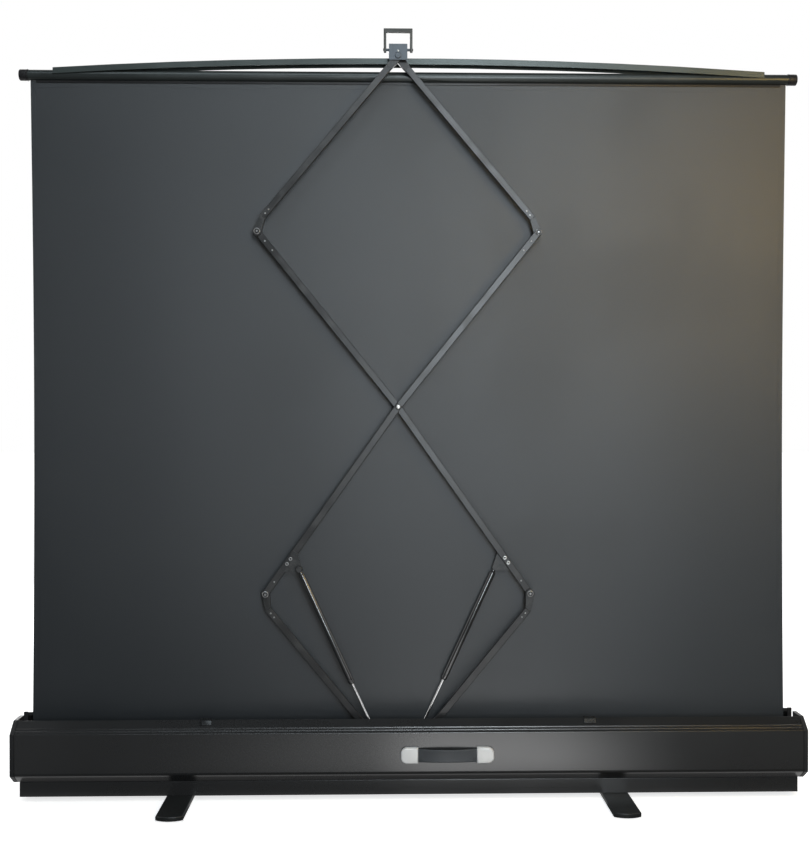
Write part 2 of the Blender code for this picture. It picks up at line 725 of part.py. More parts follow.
def make_pin(name, point, parent, low=FRONT_FACE_Y, high=REAR_FACE_Y, heads=(True, True)):
    """Pivot pin along Y."""
    pin = bmesh.new()
    turned(pin, pin_profile(low, high, heads, PIN_RADIUS), pin_place(point), 16)
    finish_object(name, pin, "steel", parent)


def make_base_bracket(root):
    """Channel bolted in the rail that carries the scissor's base pin."""
    rear = FRONT_FACE_Y - RUN
    front = REAR_FACE_Y + RUN
    low = RAIL_FLOOR + SEAT
    high = BASE_PIVOT_Z + BRACKET_RISE
    outer = BRACKET_PLATE
    outline = [
        (rear - outer, high),
        (rear - outer, low),
        (front + outer, low),
        (front + outer, high),
        (front, high),
        (front, low + outer),
        (rear, low + outer),
        (rear, high),
    ]
    channel = bmesh.new()
    half = BRACKET_WIDTH / 2
    prism(channel, outline, "X", AXIS_X - half, AXIS_X + half)
    piece = finish_object("base_bracket", channel, "steel", root)
    drill(piece, "Y", [(tuple(BASE), PIN_RADIUS + SEAT, rear - CUT_MARGIN, front + CUT_MARGIN)])
    make_pin("base_pin", BASE, root, rear - outer, front + outer, (False, False))


# Gas struts
def strut_top(sign):
    """Upper strut pivot on the long arm that starts at this side's lower elbow."""
    foot = elbow("lower", sign)
    along = (CENTRE - foot).normalized()
    inside = Vector((along.y, -along.x)) if sign < 0 else Vector((-along.y, along.x))
    return foot + along * STRUT_ALONG + inside * STRUT_OFFSET, along, inside


def make_strut(name, sign, arm, cylinder_body, rod_body):
    """Bracket and pin on the long arm, gas cylinder, and rod with its lower eye."""
    outward = -1 if layer_of("long", sign) == FRONT_LAYER_Y else 1
    face = FRONT_FACE_Y if outward < 0 else REAR_FACE_Y
    plate_in = face + outward * SEAT
    plate_out = plate_in + outward * STRUT_PLATE
    axis_y = plate_out + outward * (SEAT + STRUT_RADIUS)
    top, along, inside = strut_top(sign)

    foot = elbow("lower", sign)
    lap = ARM_WIDTH / 2 - STRUT_PLATE_INSET
    wing = []
    for u, v in ((-1, -1), (-1, 1), (1, -1), (1, 1)):
        wing.append(tuple(foot + along * (STRUT_ALONG + u * STRUT_PLATE_HALF) + inside * v * lap))
    plate = bmesh.new()
    prism(plate, hull(circle(tuple(top), STRUT_RADIUS, 18) + wing), "Y", *sorted((plate_in, plate_out)))
    piece = finish_object(f"strut_bracket_{name}", plate, "steel", arm)
    stud = bmesh.new()
    barrel_far = axis_y + outward * STRUT_RADIUS
    stud_root = (plate_in + plate_out) / 2
    low, high = sorted((stud_root, barrel_far))
    turned(stud, pin_profile(low, high, (outward < 0, outward > 0), STRUT_PIN_RADIUS), pin_place(top), 16)
    join(piece, stud)
    pin_hole = STRUT_PIN_RADIUS + SEAT

    reach = (BASE - top).length
    down = (BASE - top).normalized()
    turn = Matrix(
        (
            (down.y, 0.0, down.x, top.x),
            (0.0, 1.0, 0.0, axis_y),
            (-down.x, 0.0, down.y, top.y),
            (0.0, 0.0, 0.0, 1.0),
        )
    )
    bore = STRUT_RADIUS - STRUT_WALL
    rod_hole = ROD_RADIUS + SEAT
    body = bmesh.new()
    profile = [
        (0.0, 0.0),
        (STRUT_RADIUS, 0.0),
        (STRUT_RADIUS, STRUT_BODY),
        (rod_hole, STRUT_BODY),
        (rod_hole, STRUT_BODY - STRUT_GLAND),
        (bore, STRUT_BODY - STRUT_GLAND),
        (bore, STRUT_HEAD),
        (0.0, STRUT_HEAD),
    ]
    turned(body, profile, turn, 16)
    body_piece = finish_object(f"strut_cylinder_{name}", body, "strut_black", cylinder_body)
    barrel = bmesh.new()
    half_barrel = STRUT_RADIUS - SEAT
    cylinder(barrel, "Y", tuple(top), STRUT_RADIUS, axis_y - half_barrel, axis_y + half_barrel, 20)
    join(body_piece, barrel)
    past = half_barrel + CUT_MARGIN
    drill(body_piece, "Y", [(tuple(top), pin_hole, axis_y - past, axis_y + past)])

    rod = bmesh.new()
    piston_top = STRUT_BODY - STRUT_GLAND - ROD_INSIDE
    profile = [
        (0.0, piston_top),
        (bore - SEAT, piston_top),
        (bore - SEAT, piston_top + PISTON),
        (ROD_RADIUS, piston_top + PISTON),
        (ROD_RADIUS, reach),
        (0.0, reach),
    ]
    turned(rod, profile, turn, 16)
    rod_piece = finish_object(f"strut_rod_{name}", rod, "chrome", rod_body)
    lower_eye = bmesh.new()
    near_face = face + outward * (RUN + BRACKET_PLATE + SEAT)
    eye_range = sorted((near_face, 2 * axis_y - near_face))
    cylinder(lower_eye, "Y", tuple(BASE), ROD_EYE_RADIUS, *eye_range, 20)
    join(rod_piece, lower_eye)


def join(piece, added):
    """Fuse a bmesh to a piece with a live Boolean union."""
    cut(piece, added)
    piece.modifiers[-1].operation = "UNION"


# Crossbar
def make_crossbar(parent):
    """Top tube with end caps, arched bow over it, and the block that holds the scissor's top pin."""
    tube_half = CASE_HALF - TUBE_CAP_LENGTH
    along_x = Matrix.Translation((0.0, TUBE_Y, TUBE_Z)) @ AXES["X"]
    tube = bmesh.new()
    bore = TUBE_RADIUS - TUBE_WALL
    turned(tube, tube_profile(TUBE_RADIUS, bore, tube_half), along_x, 20)
    finish_object("top_tube", tube, "dark_bar", parent)
    for name, sign in SIDES:
        plug = bmesh.new()
        inner = sign * (tube_half - TUBE_SPIGOT)
        seat = sign * (tube_half + SEAT)
        end = sign * CASE_HALF
        flange = seat + sign * TUBE_CAP_FLANGE
        rim = TUBE_CAP_RADIUS - TUBE_CAP_STEP
        profile = [
            (0.0, inner),
            (bore - SEAT, inner),
            (bore - SEAT, seat),
            (TUBE_CAP_RADIUS, seat),
            (TUBE_CAP_RADIUS, flange),
            (rim, flange),
            (rim, end - sign * TUBE_CAP_ROUND),
            (rim - TUBE_CAP_ROUND, end),
            (0.0, end),
        ]
        turned(plug, profile, along_x, 20)
        finish_object(f"tube_cap_{name}", plug, "black_plastic", parent)

    bow = bmesh.new()
    half_w = BOW_WIDTH / 2
    inner_w = half_w - BOW_WALL
    start_top = BOW_TOP - BOW_RISE
    section = [
        (TUBE_Y - half_w, start_top - BOW_HEIGHT),
        (TUBE_Y - half_w, start_top),
        (TUBE_Y + half_w, start_top),
        (TUBE_Y + half_w, start_top - BOW_HEIGHT),
        (TUBE_Y + inner_w, start_top - BOW_HEIGHT),
        (TUBE_Y + inner_w, start_top - BOW_WALL),
        (TUBE_Y - inner_w, start_top - BOW_WALL),
        (TUBE_Y - inner_w, start_top - BOW_HEIGHT),
    ]
    face = bow.faces.new([bow.verts.new((-BOW_HALF, y, z)) for y, z in section])
    step = 2 * BOW_HALF / BOW_STEPS
    for i in range(BOW_STEPS):
        rise = [BOW_RISE * (1 - (2 * k / BOW_STEPS - 1) ** 2) for k in (i, i + 1)]
        grown = bmesh.ops.extrude_face_region(bow, geom=[face])["geom"]
        if i:
            bmesh.ops.delete(bow, geom=[face], context="FACES_ONLY")
        face = [item for item in grown if isinstance(item, bmesh.types.BMFace)][0]
        bmesh.ops.translate(bow, verts=list(face.verts), vec=(step, 0.0, rise[1] - rise[0]))
    finish_object("bow", bow, "dark_bar", parent)

    rear_in = FRONT_FACE_Y - RUN
    front_in = REAR_FACE_Y + RUN
    eye_low = TOP.y - LUG_RADIUS
    over_arms = TOP.y + LUG_RADIUS + RUN
    seat = BOW_TOP + SEAT
    top = BOW_TOP + TOP_BLOCK_HEIGHT
    bow_front = TUBE_Y + half_w
    outline = [
        (bow_front, seat),
        (bow_front, seat + CHEEK),
        (TUBE_Y - TOP_BLOCK_SLOPE, top),
        (rear_in - CHEEK, top),
        (rear_in - CHEEK, eye_low),
        (rear_in, eye_low),
        (rear_in, over_arms),
        (front_in, over_arms),
        (front_in, eye_low),
        (front_in + CHEEK, eye_low),
        (front_in + CHEEK, seat),
    ]
    block = bmesh.new()
    half_block = TOP_BLOCK_WIDTH / 2
    prism(block, outline, "X", AXIS_X - half_block, AXIS_X + half_block)
    piece = finish_object("top_block", block, "steel", parent)
    drill(piece, "Y", [(tuple(TOP), PIN_RADIUS + SEAT, rear_in - CUT_MARGIN, front_in + CHEEK + SEAT)])
    pivot = bail_pivot()
    for _, sign in SIDES:
        ends = sorted((AXIS_X + sign * (half_block - BAIL_PIN_ROOT), AXIS_X + sign * (BAIL_WIDTH / 2 + RUN)))
        boss = bmesh.new()
        cylinder(boss, "X", (pivot.y, pivot.z), BAIL_PIN_RADIUS, *ends, 16)
        join(piece, boss)
    make_pin("top_pin", TOP, parent, rear_in - CHEEK, front_in + CHEEK, (True, False))


def bail_pivot():
    """Hinge line of the pull loop, through the block."""
    middle_y = (FRONT_FACE_Y + REAR_FACE_Y) / 2
    return Vector((AXIS_X, middle_y, TOP.y + BAIL_PIVOT_RISE))


def make_bail(bail_body):
    """Pull loop hinged on the sides of the top block."""
    pivot = bail_pivot()
    outer = BAIL_WIDTH / 2
    inner = outer - BAIL_LEG
    low = pivot.z - BAIL_LEG
    high = pivot.z + BAIL_HEIGHT
    round_out = BAIL_BAR
    round_in = BAIL_LEG / 2
    right = [(outer, low)] + arc((outer - round_out, high - round_out), round_out, 0, 90, 4)
    inside = arc((inner - round_in, high - BAIL_BAR - round_in), round_in, 90, 0, 3) + [(inner, low)]
    outline = right + [(-x, z) for x, z in right[::-1]]
    outline += [(-x, z) for x, z in inside[::-1]] + inside
    loop = bmesh.new()
    placed = [(AXIS_X + x, z) for x, z in outline]
    prism(loop, placed, "Y", pivot.y - BAIL_DEPTH / 2, pivot.y + BAIL_DEPTH / 2)
    piece = finish_object("pull_loop", loop, "dark_bar", bail_body)
    reach = outer + CUT_MARGIN
    drill(piece, "X", [((pivot.y, pivot.z), BAIL_PIN_RADIUS + SEAT, AXIS_X - reach, AXIS_X + reach)])


# Cloth and roller
def make_cloth(root):
    """Stretched cloth from the roller to the top tube, drawn in a little at its sides."""
    low = ROLLER_Z
    high = TUBE_Z - TUBE_RADIUS - SEAT
    steps = 12
    edge = []
    for i in range(steps + 1):
        share = i / steps
        waist = CLOTH_WAIST * math.sin(math.pi * share)
        edge.append((CLOTH_WIDTH / 2 - waist, low + (high - low) * share))
    outline = edge + [(-x, z) for x, z in edge[::-1]]
    cloth = bmesh.new()
    prism(cloth, outline, "Y", CLOTH_FRONT_Y - CLOTH_THICK, CLOTH_FRONT_Y)
    finish_object("screen_cloth", cloth, "screen_cloth", root)


def make_roller(roller_body):
    """Spring roller: tube, wound layers, end plugs with journals, and spring."""
    along_x = Matrix.Translation((0.0, ROLLER_Y, ROLLER_Z)) @ AXES["X"]
    bore = ROLLER_RADIUS - ROLLER_WALL
    tube = bmesh.new()
    turned(tube, tube_profile(ROLLER_RADIUS, bore, ROLLER_HALF), along_x, 24)
    finish_object("roller_tube", tube, "steel", roller_body)
    wound = bmesh.new()
    turned(wound, tube_profile(ROLL_RADIUS, ROLLER_RADIUS + SEAT, CLOTH_WIDTH / 2), along_x, 24)
    finish_object("wound_cloth", wound, "screen_cloth", roller_body)

    for name, sign in SIDES:
        plug = bmesh.new()
        deep = sign * (ROLLER_HALF - ROLLER_PLUG)
        flange = sign * (ROLLER_HALF + SEAT)
        flange_end = flange + sign * ROLLER_FLANGE
        tip = sign * SHELL_HALF
        profile = [
            (0.0, deep),
            (bore - SEAT, deep),
            (bore - SEAT, flange),
            (ROLLER_RADIUS, flange),
            (ROLLER_RADIUS, flange_end),
            (JOURNAL_RADIUS, flange_end),
            (JOURNAL_RADIUS, tip),
            (0.0, tip),
        ]
        turned(plug, profile, along_x, 24)
        finish_object(f"roller_plug_{name}", plug, "black_plastic", roller_body)

    spring_end = ROLLER_HALF - ROLLER_PLUG - SEAT - SPRING_WIRE
    points = []
    for i in range(SPRING_TURNS * SPRING_POINTS + 1):
        turns = i / SPRING_POINTS
        y = ROLLER_Y + SPRING_RADIUS * math.cos(math.tau * turns)
        z = ROLLER_Z + SPRING_RADIUS * math.sin(math.tau * turns)
        points.append(Vector((spring_end - SPRING_PITCH * turns, y, z)))
    curve = bpy.data.curves.new("roller_spring", "CURVE")
    curve.dimensions = "3D"
    curve.bevel_depth = SPRING_WIRE
    curve.bevel_resolution = 1
    curve.use_fill_caps = True
    curve.materials.append(material("steel"))
    spline = curve.splines.new("POLY")
    spline.points.add(len(points) - 1)
    for knot, place in zip(spline.points, points):
        knot.co = (*place, 1.0)
    spring = bpy.data.objects.new("roller_spring", curve)
    bpy.context.scene.collection.objects.link(spring)
    spring.parent = roller_body
    spring.matrix_parent_inverse = roller_body.matrix_world.inverted()
    half_turn = SPRING_POINTS // 2
    nearest = min((a - b).length for i, a in enumerate(points) for b in points[i + half_turn :])
    print(f"roller_spring least gap to itself: {(nearest - 2 * SPRING_WIRE) * 1000:.2f} mm")


def make_clips(root):
    """Bright clips hooked over the rear lip of the case."""
    lip = Vector((-OPENING / 2, CASE_TOP))
    shoulder = Vector((CASE_BACK_Y, CASE_TOP - SHOULDER_DROP))
    run = (shoulder - lip).normalized()
    reach = (shoulder - lip).length - BEAD_FROM_EDGE - BEAD_STEP - BEAD - CLIP_TO_BEAD
    lift = Vector((run.y, -run.x))
    if lift.y < 0:
        lift = -lift
    on_lip = lip + lift * SEAT
    far = on_lip + run * reach
    inside_y = lip.x + SEAT
    outline = [
        tuple(far),
        tuple(far + lift * CLIP_TIP),
        tuple(on_lip + run * reach * CLIP_CREST_SHARE + lift * CLIP_CREST),
        (inside_y + CLIP_THICK, CASE_TOP + CLIP_THICK),
        (inside_y + CLIP_THICK, CASE_TOP - LIP_FLANGE),
        (inside_y, CASE_TOP - LIP_FLANGE),
        (inside_y, CASE_TOP + SEAT * 2),
    ]
    for name, sign in SIDES:
        clip = bmesh.new()
        x = AXIS_X + sign * CLIP_SPACING / 2
        prism(clip, outline, "X", x - CLIP_WIDTH / 2, x + CLIP_WIDTH / 2)
        finish_object(f"rest_clip_{name}", clip, "steel", root)


def main():
    """Clear the scene and build every piece on its body's empty."""
    for item in list(bpy.data.objects):
        bpy.data.objects.remove(item, do_unlink=True)
    root = pivot_empty("housing", (0.0, 0.0, 0.0))
    make_case(root)
    make_handle(root)
    make_feet(root)
    make_base_bracket(root)
    make_cloth(root)
    make_clips(root)
    make_roller(pivot_empty("roller", (0.0, ROLLER_Y, ROLLER_Z), root))

    bodies = {}
    for name, sign in SIDES:
        low = elbow("lower", sign)
        base = pivot_empty(f"lower_{name}_pivot", (BASE.x, 0.0, BASE.y), root)
        bodies[f"long_{name}"] = pivot_empty(f"long_{name}_pivot", (low.x, 0.0, low.y), base)
        make_short_arm("lower", name, sign, base)
        make_long_arm(name, sign, bodies[f"long_{name}"])
        make_pin(f"lower_elbow_pin_{name}", low, bodies[f"long_{name}"])
        top, _, _ = strut_top(sign)
        barrel = pivot_empty(f"strut_{name}_pivot", (top.x, 0.0, top.y), bodies[f"long_{name}"])
        rod = pivot_empty(f"strut_rod_{name}_slide", (BASE.x, 0.0, BASE.y), barrel)
        make_strut(name, sign, bodies[f"long_{name}"], barrel, rod)
    make_pin("centre_pin", CENTRE, bodies["long_left"])
    for name, sign in SIDES:
        high = elbow("upper", sign)
        carrier = bodies["long_right" if sign < 0 else "long_left"]
        bodies[f"upper_{name}"] = pivot_empty(f"upper_{name}_pivot", (high.x, 0.0, high.y), carrier)
        make_short_arm("upper", name, sign, bodies[f"upper_{name}"])
        make_pin(f"upper_elbow_pin_{name}", high, carrier)
    crossbar = pivot_empty("crossbar_pivot", (TOP.x, 0.0, TOP.y), bodies["upper_right"])
    make_crossbar(crossbar)
    make_bail(pivot_empty("pull_loop_pivot", bail_pivot(), crossbar))


main()
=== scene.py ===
"""Looks of a pull-up projection screen: cloth, finishes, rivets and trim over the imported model.

Metres, +Z up. +X runs along the floor case and -Y is the side with the scissor and the carry handle.
"""
from __future__ import annotations

import json
import logging
import math
from dataclasses import dataclass, field
from enum import Enum
from typing import Any, Iterable, Sequence

import bmesh
import bpy
from mathutils import Matrix, Vector

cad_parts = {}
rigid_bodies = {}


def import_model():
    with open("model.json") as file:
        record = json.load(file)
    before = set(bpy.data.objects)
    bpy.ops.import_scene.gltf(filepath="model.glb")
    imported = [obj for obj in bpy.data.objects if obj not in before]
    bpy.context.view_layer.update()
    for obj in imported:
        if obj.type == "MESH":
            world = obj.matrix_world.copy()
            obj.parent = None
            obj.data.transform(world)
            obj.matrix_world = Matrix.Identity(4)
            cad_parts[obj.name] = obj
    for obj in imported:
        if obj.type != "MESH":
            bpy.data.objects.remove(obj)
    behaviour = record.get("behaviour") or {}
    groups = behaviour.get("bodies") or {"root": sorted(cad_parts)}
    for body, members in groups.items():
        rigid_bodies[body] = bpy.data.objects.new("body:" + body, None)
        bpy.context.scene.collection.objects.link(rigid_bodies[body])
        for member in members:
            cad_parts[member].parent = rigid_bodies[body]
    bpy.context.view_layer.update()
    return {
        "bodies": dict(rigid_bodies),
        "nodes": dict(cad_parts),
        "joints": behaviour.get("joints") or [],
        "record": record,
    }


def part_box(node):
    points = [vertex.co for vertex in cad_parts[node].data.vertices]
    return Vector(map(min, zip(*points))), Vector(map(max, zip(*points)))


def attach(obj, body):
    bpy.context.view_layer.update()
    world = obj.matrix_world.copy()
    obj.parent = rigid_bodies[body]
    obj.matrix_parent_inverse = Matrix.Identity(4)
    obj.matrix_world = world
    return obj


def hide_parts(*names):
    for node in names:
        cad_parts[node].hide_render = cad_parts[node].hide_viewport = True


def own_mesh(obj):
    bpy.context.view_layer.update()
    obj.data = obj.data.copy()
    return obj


LOG = logging.getLogger("projection_screen")
MERGE = 1e-6
# Parts of a unit normal past which a face counts as turned that way.
FACING = 0.5
SQUARE = 0.9
FLAT = 0.99
DOME_STEPS = 20
RING_STEPS = 24
DISH_SHARE = 0.55
ACROSS = Vector((1.0, 0.0, 0.0))
UP = Vector((0.0, 0.0, 1.0))
FRONT = Vector((0.0, -1.0, 0.0))
Colour = tuple[float, float, float]
Point = tuple[float, float, float]
Pair = tuple[float, float]
Profile = Sequence[Pair]
Shape = bmesh.types.BMesh
Socket = bpy.types.NodeSocket


class Side(Enum):
    """Side of the screen, seen from behind; the value is its sign along X."""

    LEFT = -1.0
    RIGHT = 1.0

    def __str__(self) -> str:
        """The side as the nodes' names carry it."""
        return self.name.lower()

    @property
    def other(self) -> Side:
        """The opposite side."""
        return Side(-self.value)

    def outer(self, low: Vector, high: Vector) -> float:
        """X of the face that a box has on this side."""
        return high.x if self is Side.RIGHT else low.x


class Arm(Enum):
    """Kind of scissor arm, as the nodes' names carry it."""

    LOWER = "lower"
    LONG = "long"
    UPPER = "upper"


class Surface(Enum):
    """Fine structure of a finish; each value names the shader group that makes it."""

    GRAIN = "moulded_grain"
    DRAWN = "drawn_lines"
    SPANGLE = "zinc_spangle"
    WEAVE = "cloth_weave"


class Toward(Enum):
    """World axis that the turning axis of a spun shape is laid along."""

    X = Matrix.Rotation(math.radians(90.0), 4, "Y")
    Y = Matrix.Rotation(math.radians(-90.0), 4, "X")

    def at(self, place: Vector) -> Matrix:
        """Matrix that lays the turning axis along this one, through a place."""
        return Matrix.Translation(place) @ self.value


@dataclass(frozen=True)
class Finish:
    """One surface as it is made: colour, gloss, fine structure and the marks of use.

    Lengths are in metres and scales are counts per metre; lean turns the fine structure in the
    scissor's plane, in degrees.
    """

    name: str
    slot: str
    colour: Colour
    marks: Colour
    roughness: float
    metallic: float = 0.0
    surface: Surface = Surface.GRAIN
    scale: float = 900.0
    depth: float = 0.00002
    spread: float = 0.12
    mark_scale: float = 7.0
    mark_share: float = 0.5
    lean: float = 0.0
    coat: float = 0.0
    coat_roughness: float = 0.03
    specular: float = 0.5


BLACK_PAINT = Finish(
    "case_paint", "black_paint", (0.012, 0.012, 0.0125), (0.022, 0.022, 0.0225), 0.30, scale=1600.0,
    depth=0.000006, spread=0.06, mark_scale=3.0, mark_share=0.35, coat=0.6, coat_roughness=0.2,
    specular=0.9,
)
FOOT_PAINT = Finish(
    "foot_paint", "black_paint", (0.011, 0.012, 0.012), (0.024, 0.025, 0.025), 0.42, scale=1400.0,
    depth=0.000014, mark_scale=14.0,
)
END_MOULDING = Finish(
    "end_moulding", "black_plastic", (0.012, 0.012, 0.013), (0.026, 0.026, 0.027), 0.46, scale=1100.0,
    depth=0.00003,
)
BAR_DARK = Finish(
    "bar_dark", "dark_bar", (0.036, 0.042, 0.042), (0.070, 0.080, 0.078), 0.34, 0.35, Surface.DRAWN,
    1600.0, 0.000008, mark_scale=4.0,
)
# Painted sheen: the same dark bar as the crossbar tube, made lighter for the light that the bow's rear
# face catches.
BOW_PAINTED_SHEEN = Finish(
    "bow_dark", "dark_bar", (0.062, 0.076, 0.074), (0.105, 0.124, 0.120), 0.36, 0.35, Surface.DRAWN,
    1600.0, 0.000008, mark_scale=4.0,
)
LOOP_DARK = Finish(
    "loop_dark", "dark_bar", (0.038, 0.038, 0.035), (0.085, 0.085, 0.075), 0.42, 0.35, scale=1200.0,
    mark_scale=30.0,
)
BLOCK_GREY = Finish(
    "block_grey", "steel", (0.066, 0.080, 0.096), (0.12, 0.14, 0.16), 0.40, 0.30, scale=1200.0,
    mark_scale=40.0,
)
LUG_DARK = Finish(
    "lug_dark", "steel", (0.026, 0.027, 0.028), (0.075, 0.074, 0.072), 0.38, 0.45, Surface.SPANGLE, 320.0,
    mark_scale=60.0, mark_share=0.7,
)
RIVET_GREY = Finish(
    "rivet_grey", "steel", (0.36, 0.36, 0.36), (0.20, 0.20, 0.20), 0.34, 0.8, Surface.SPANGLE, 700.0,
    mark_scale=90.0,
)
RIVET_BRIGHT = Finish(
    "rivet_bright", "steel", (0.70, 0.70, 0.68), (0.50, 0.50, 0.48), 0.30, 0.6, Surface.SPANGLE, 700.0,
    mark_scale=90.0,
)
CLIP_DARK = Finish(
    "clip_dark", "steel", (0.018, 0.019, 0.020), (0.045, 0.046, 0.046), 0.30, 0.5, Surface.SPANGLE, 500.0,
    mark_scale=60.0,
)
CHROME = Finish(
    "rod_chrome", "chrome", (0.86, 0.86, 0.86), (0.70, 0.70, 0.70), 0.12, 1.0, Surface.DRAWN, 900.0,
    0.000002, 0.05, 25.0, 0.3,
)
STRUT_GLOSS = Finish(
    "strut_gloss", "strut_black", (0.020, 0.020, 0.021), (0.050, 0.050, 0.050), 0.20, 0.3, scale=900.0,
    depth=0.000004, spread=0.06, mark_scale=20.0, coat=1.0, coat_roughness=0.12, specular=1.0,
)
SILVER_MOULDING = Finish(
    "silver_moulding", "silver_plastic", (0.86, 0.85, 0.84), (0.72, 0.71, 0.69), 0.34, 0.1, scale=1500.0,
    depth=0.000008, spread=0.08, mark_scale=35.0,
)
GRIP_RUBBER = Finish(
    "grip_rubber", "grip_rubber", (0.033, 0.037, 0.042), (0.056, 0.061, 0.068), 0.46, scale=1300.0,
    depth=0.00004, mark_scale=25.0,
)
FOOT_RUBBER = Finish(
    "foot_rubber", "foot_rubber", (0.020, 0.020, 0.020), (0.045, 0.044, 0.042), 0.80, scale=900.0,
    depth=0.00004, mark_scale=40.0,
)
CLOTH_BACK = Finish(
    "cloth_back", "screen_cloth", (0.008, 0.011, 0.014), (0.013, 0.016, 0.019), 0.44, 0.0, Surface.WEAVE,
    1500.0, 0.00006, 0.06, 2.2, 0.5, specular=0.8,
)
CLOTH_WHITE = Finish(
    "cloth_white", "screen_cloth", (0.80, 0.80, 0.79), (0.75, 0.75, 0.74), 0.85, 0.0, Surface.WEAVE,
    1500.0, 0.00004, 0.06, 2.2, 0.4,
)
CLOTH_BLACK = Finish(
    "cloth_black", "screen_cloth", (0.012, 0.012, 0.013), (0.020, 0.020, 0.021), 0.80, 0.0, Surface.WEAVE,
    1500.0, 0.00005, 0.06, 2.2, 0.5,
)


def arm_finish(name: str, lean: float) -> Finish:
    """Dark anodised arm whose drawn lines lean along it, in degrees from +X."""
    return Finish(
        name, "grey_arm", (0.027, 0.027, 0.028), (0.080, 0.080, 0.078), 0.34, 0.45, Surface.DRAWN, 1500.0,
        0.00001, mark_scale=22.0, mark_share=0.6, lean=lean,
    )


ARM_RISING = arm_finish("arm_dark_rising", 53.0)
ARM_FALLING = arm_finish("arm_dark_falling", -53.0)


class Sketch:
    """Adds and links the nodes of one shader tree."""

    def __init__(self, tree: bpy.types.NodeTree) -> None:
        """Start on a tree, which keeps what it already holds."""
        self.tree = tree

    def add(self, kind: str, inputs: dict[Any, Any] | None = None, **settings: Any) -> bpy.types.Node:
        """Add one node.

        Args:
            kind: Node type.
            inputs: Values or sockets to put on its inputs, by name or number.
            settings: Properties of the node.

        Returns:
            The new node.
        """
        node = self.tree.nodes.new(kind)
        for key, value in settings.items():
            setattr(node, key, value)
        for key, value in (inputs or {}).items():
            if isinstance(value, Socket):
                self.link(value, node.inputs[key])
            else:
                node.inputs[key].default_value = value
        return node

    def link(self, value: Socket, socket: Socket) -> None:
        """Feed one socket from another."""
        self.tree.links.new(value, socket)

    def math(self, operation: str, *values: Any) -> Socket:
        """Result of one Math node on numbers or sockets."""
        node = self.add("ShaderNodeMath", dict(enumerate(values)), operation=operation)
        return node.outputs[0]

    def span(self, value: Any, low: float, high: float, start: float = 0.0, end: float = 1.0) -> Socket:
        """Map a value smoothly from one range to another and clamp it.

        Args:
            value: Number or socket.
            low: Start of its range.
            high: End of its range.
            start: Result at the start of the range.
            end: Result at its end.

        Returns:
            The result's socket.
        """
        keys = {"Value": value, 1: low, 2: high, 3: start, 4: end}
        node = self.add("ShaderNodeMapRange", keys, interpolation_type="SMOOTHSTEP")
        return node.outputs[0]

    def noise(self, vector: Any, scale: Any, detail: float = 3.0) -> Socket:
        """Grey noise on a vector."""
        keys = {"Vector": vector, "Scale": scale, "Detail": detail}
        return self.add("ShaderNodeTexNoise", keys).outputs[0]

    def stretched(self, vector: Any, factors: Point) -> Socket:
        """Vector multiplied axis by axis."""
        node = self.add("ShaderNodeVectorMath", {0: vector, 1: factors}, operation="MULTIPLY")
        return node.outputs[0]


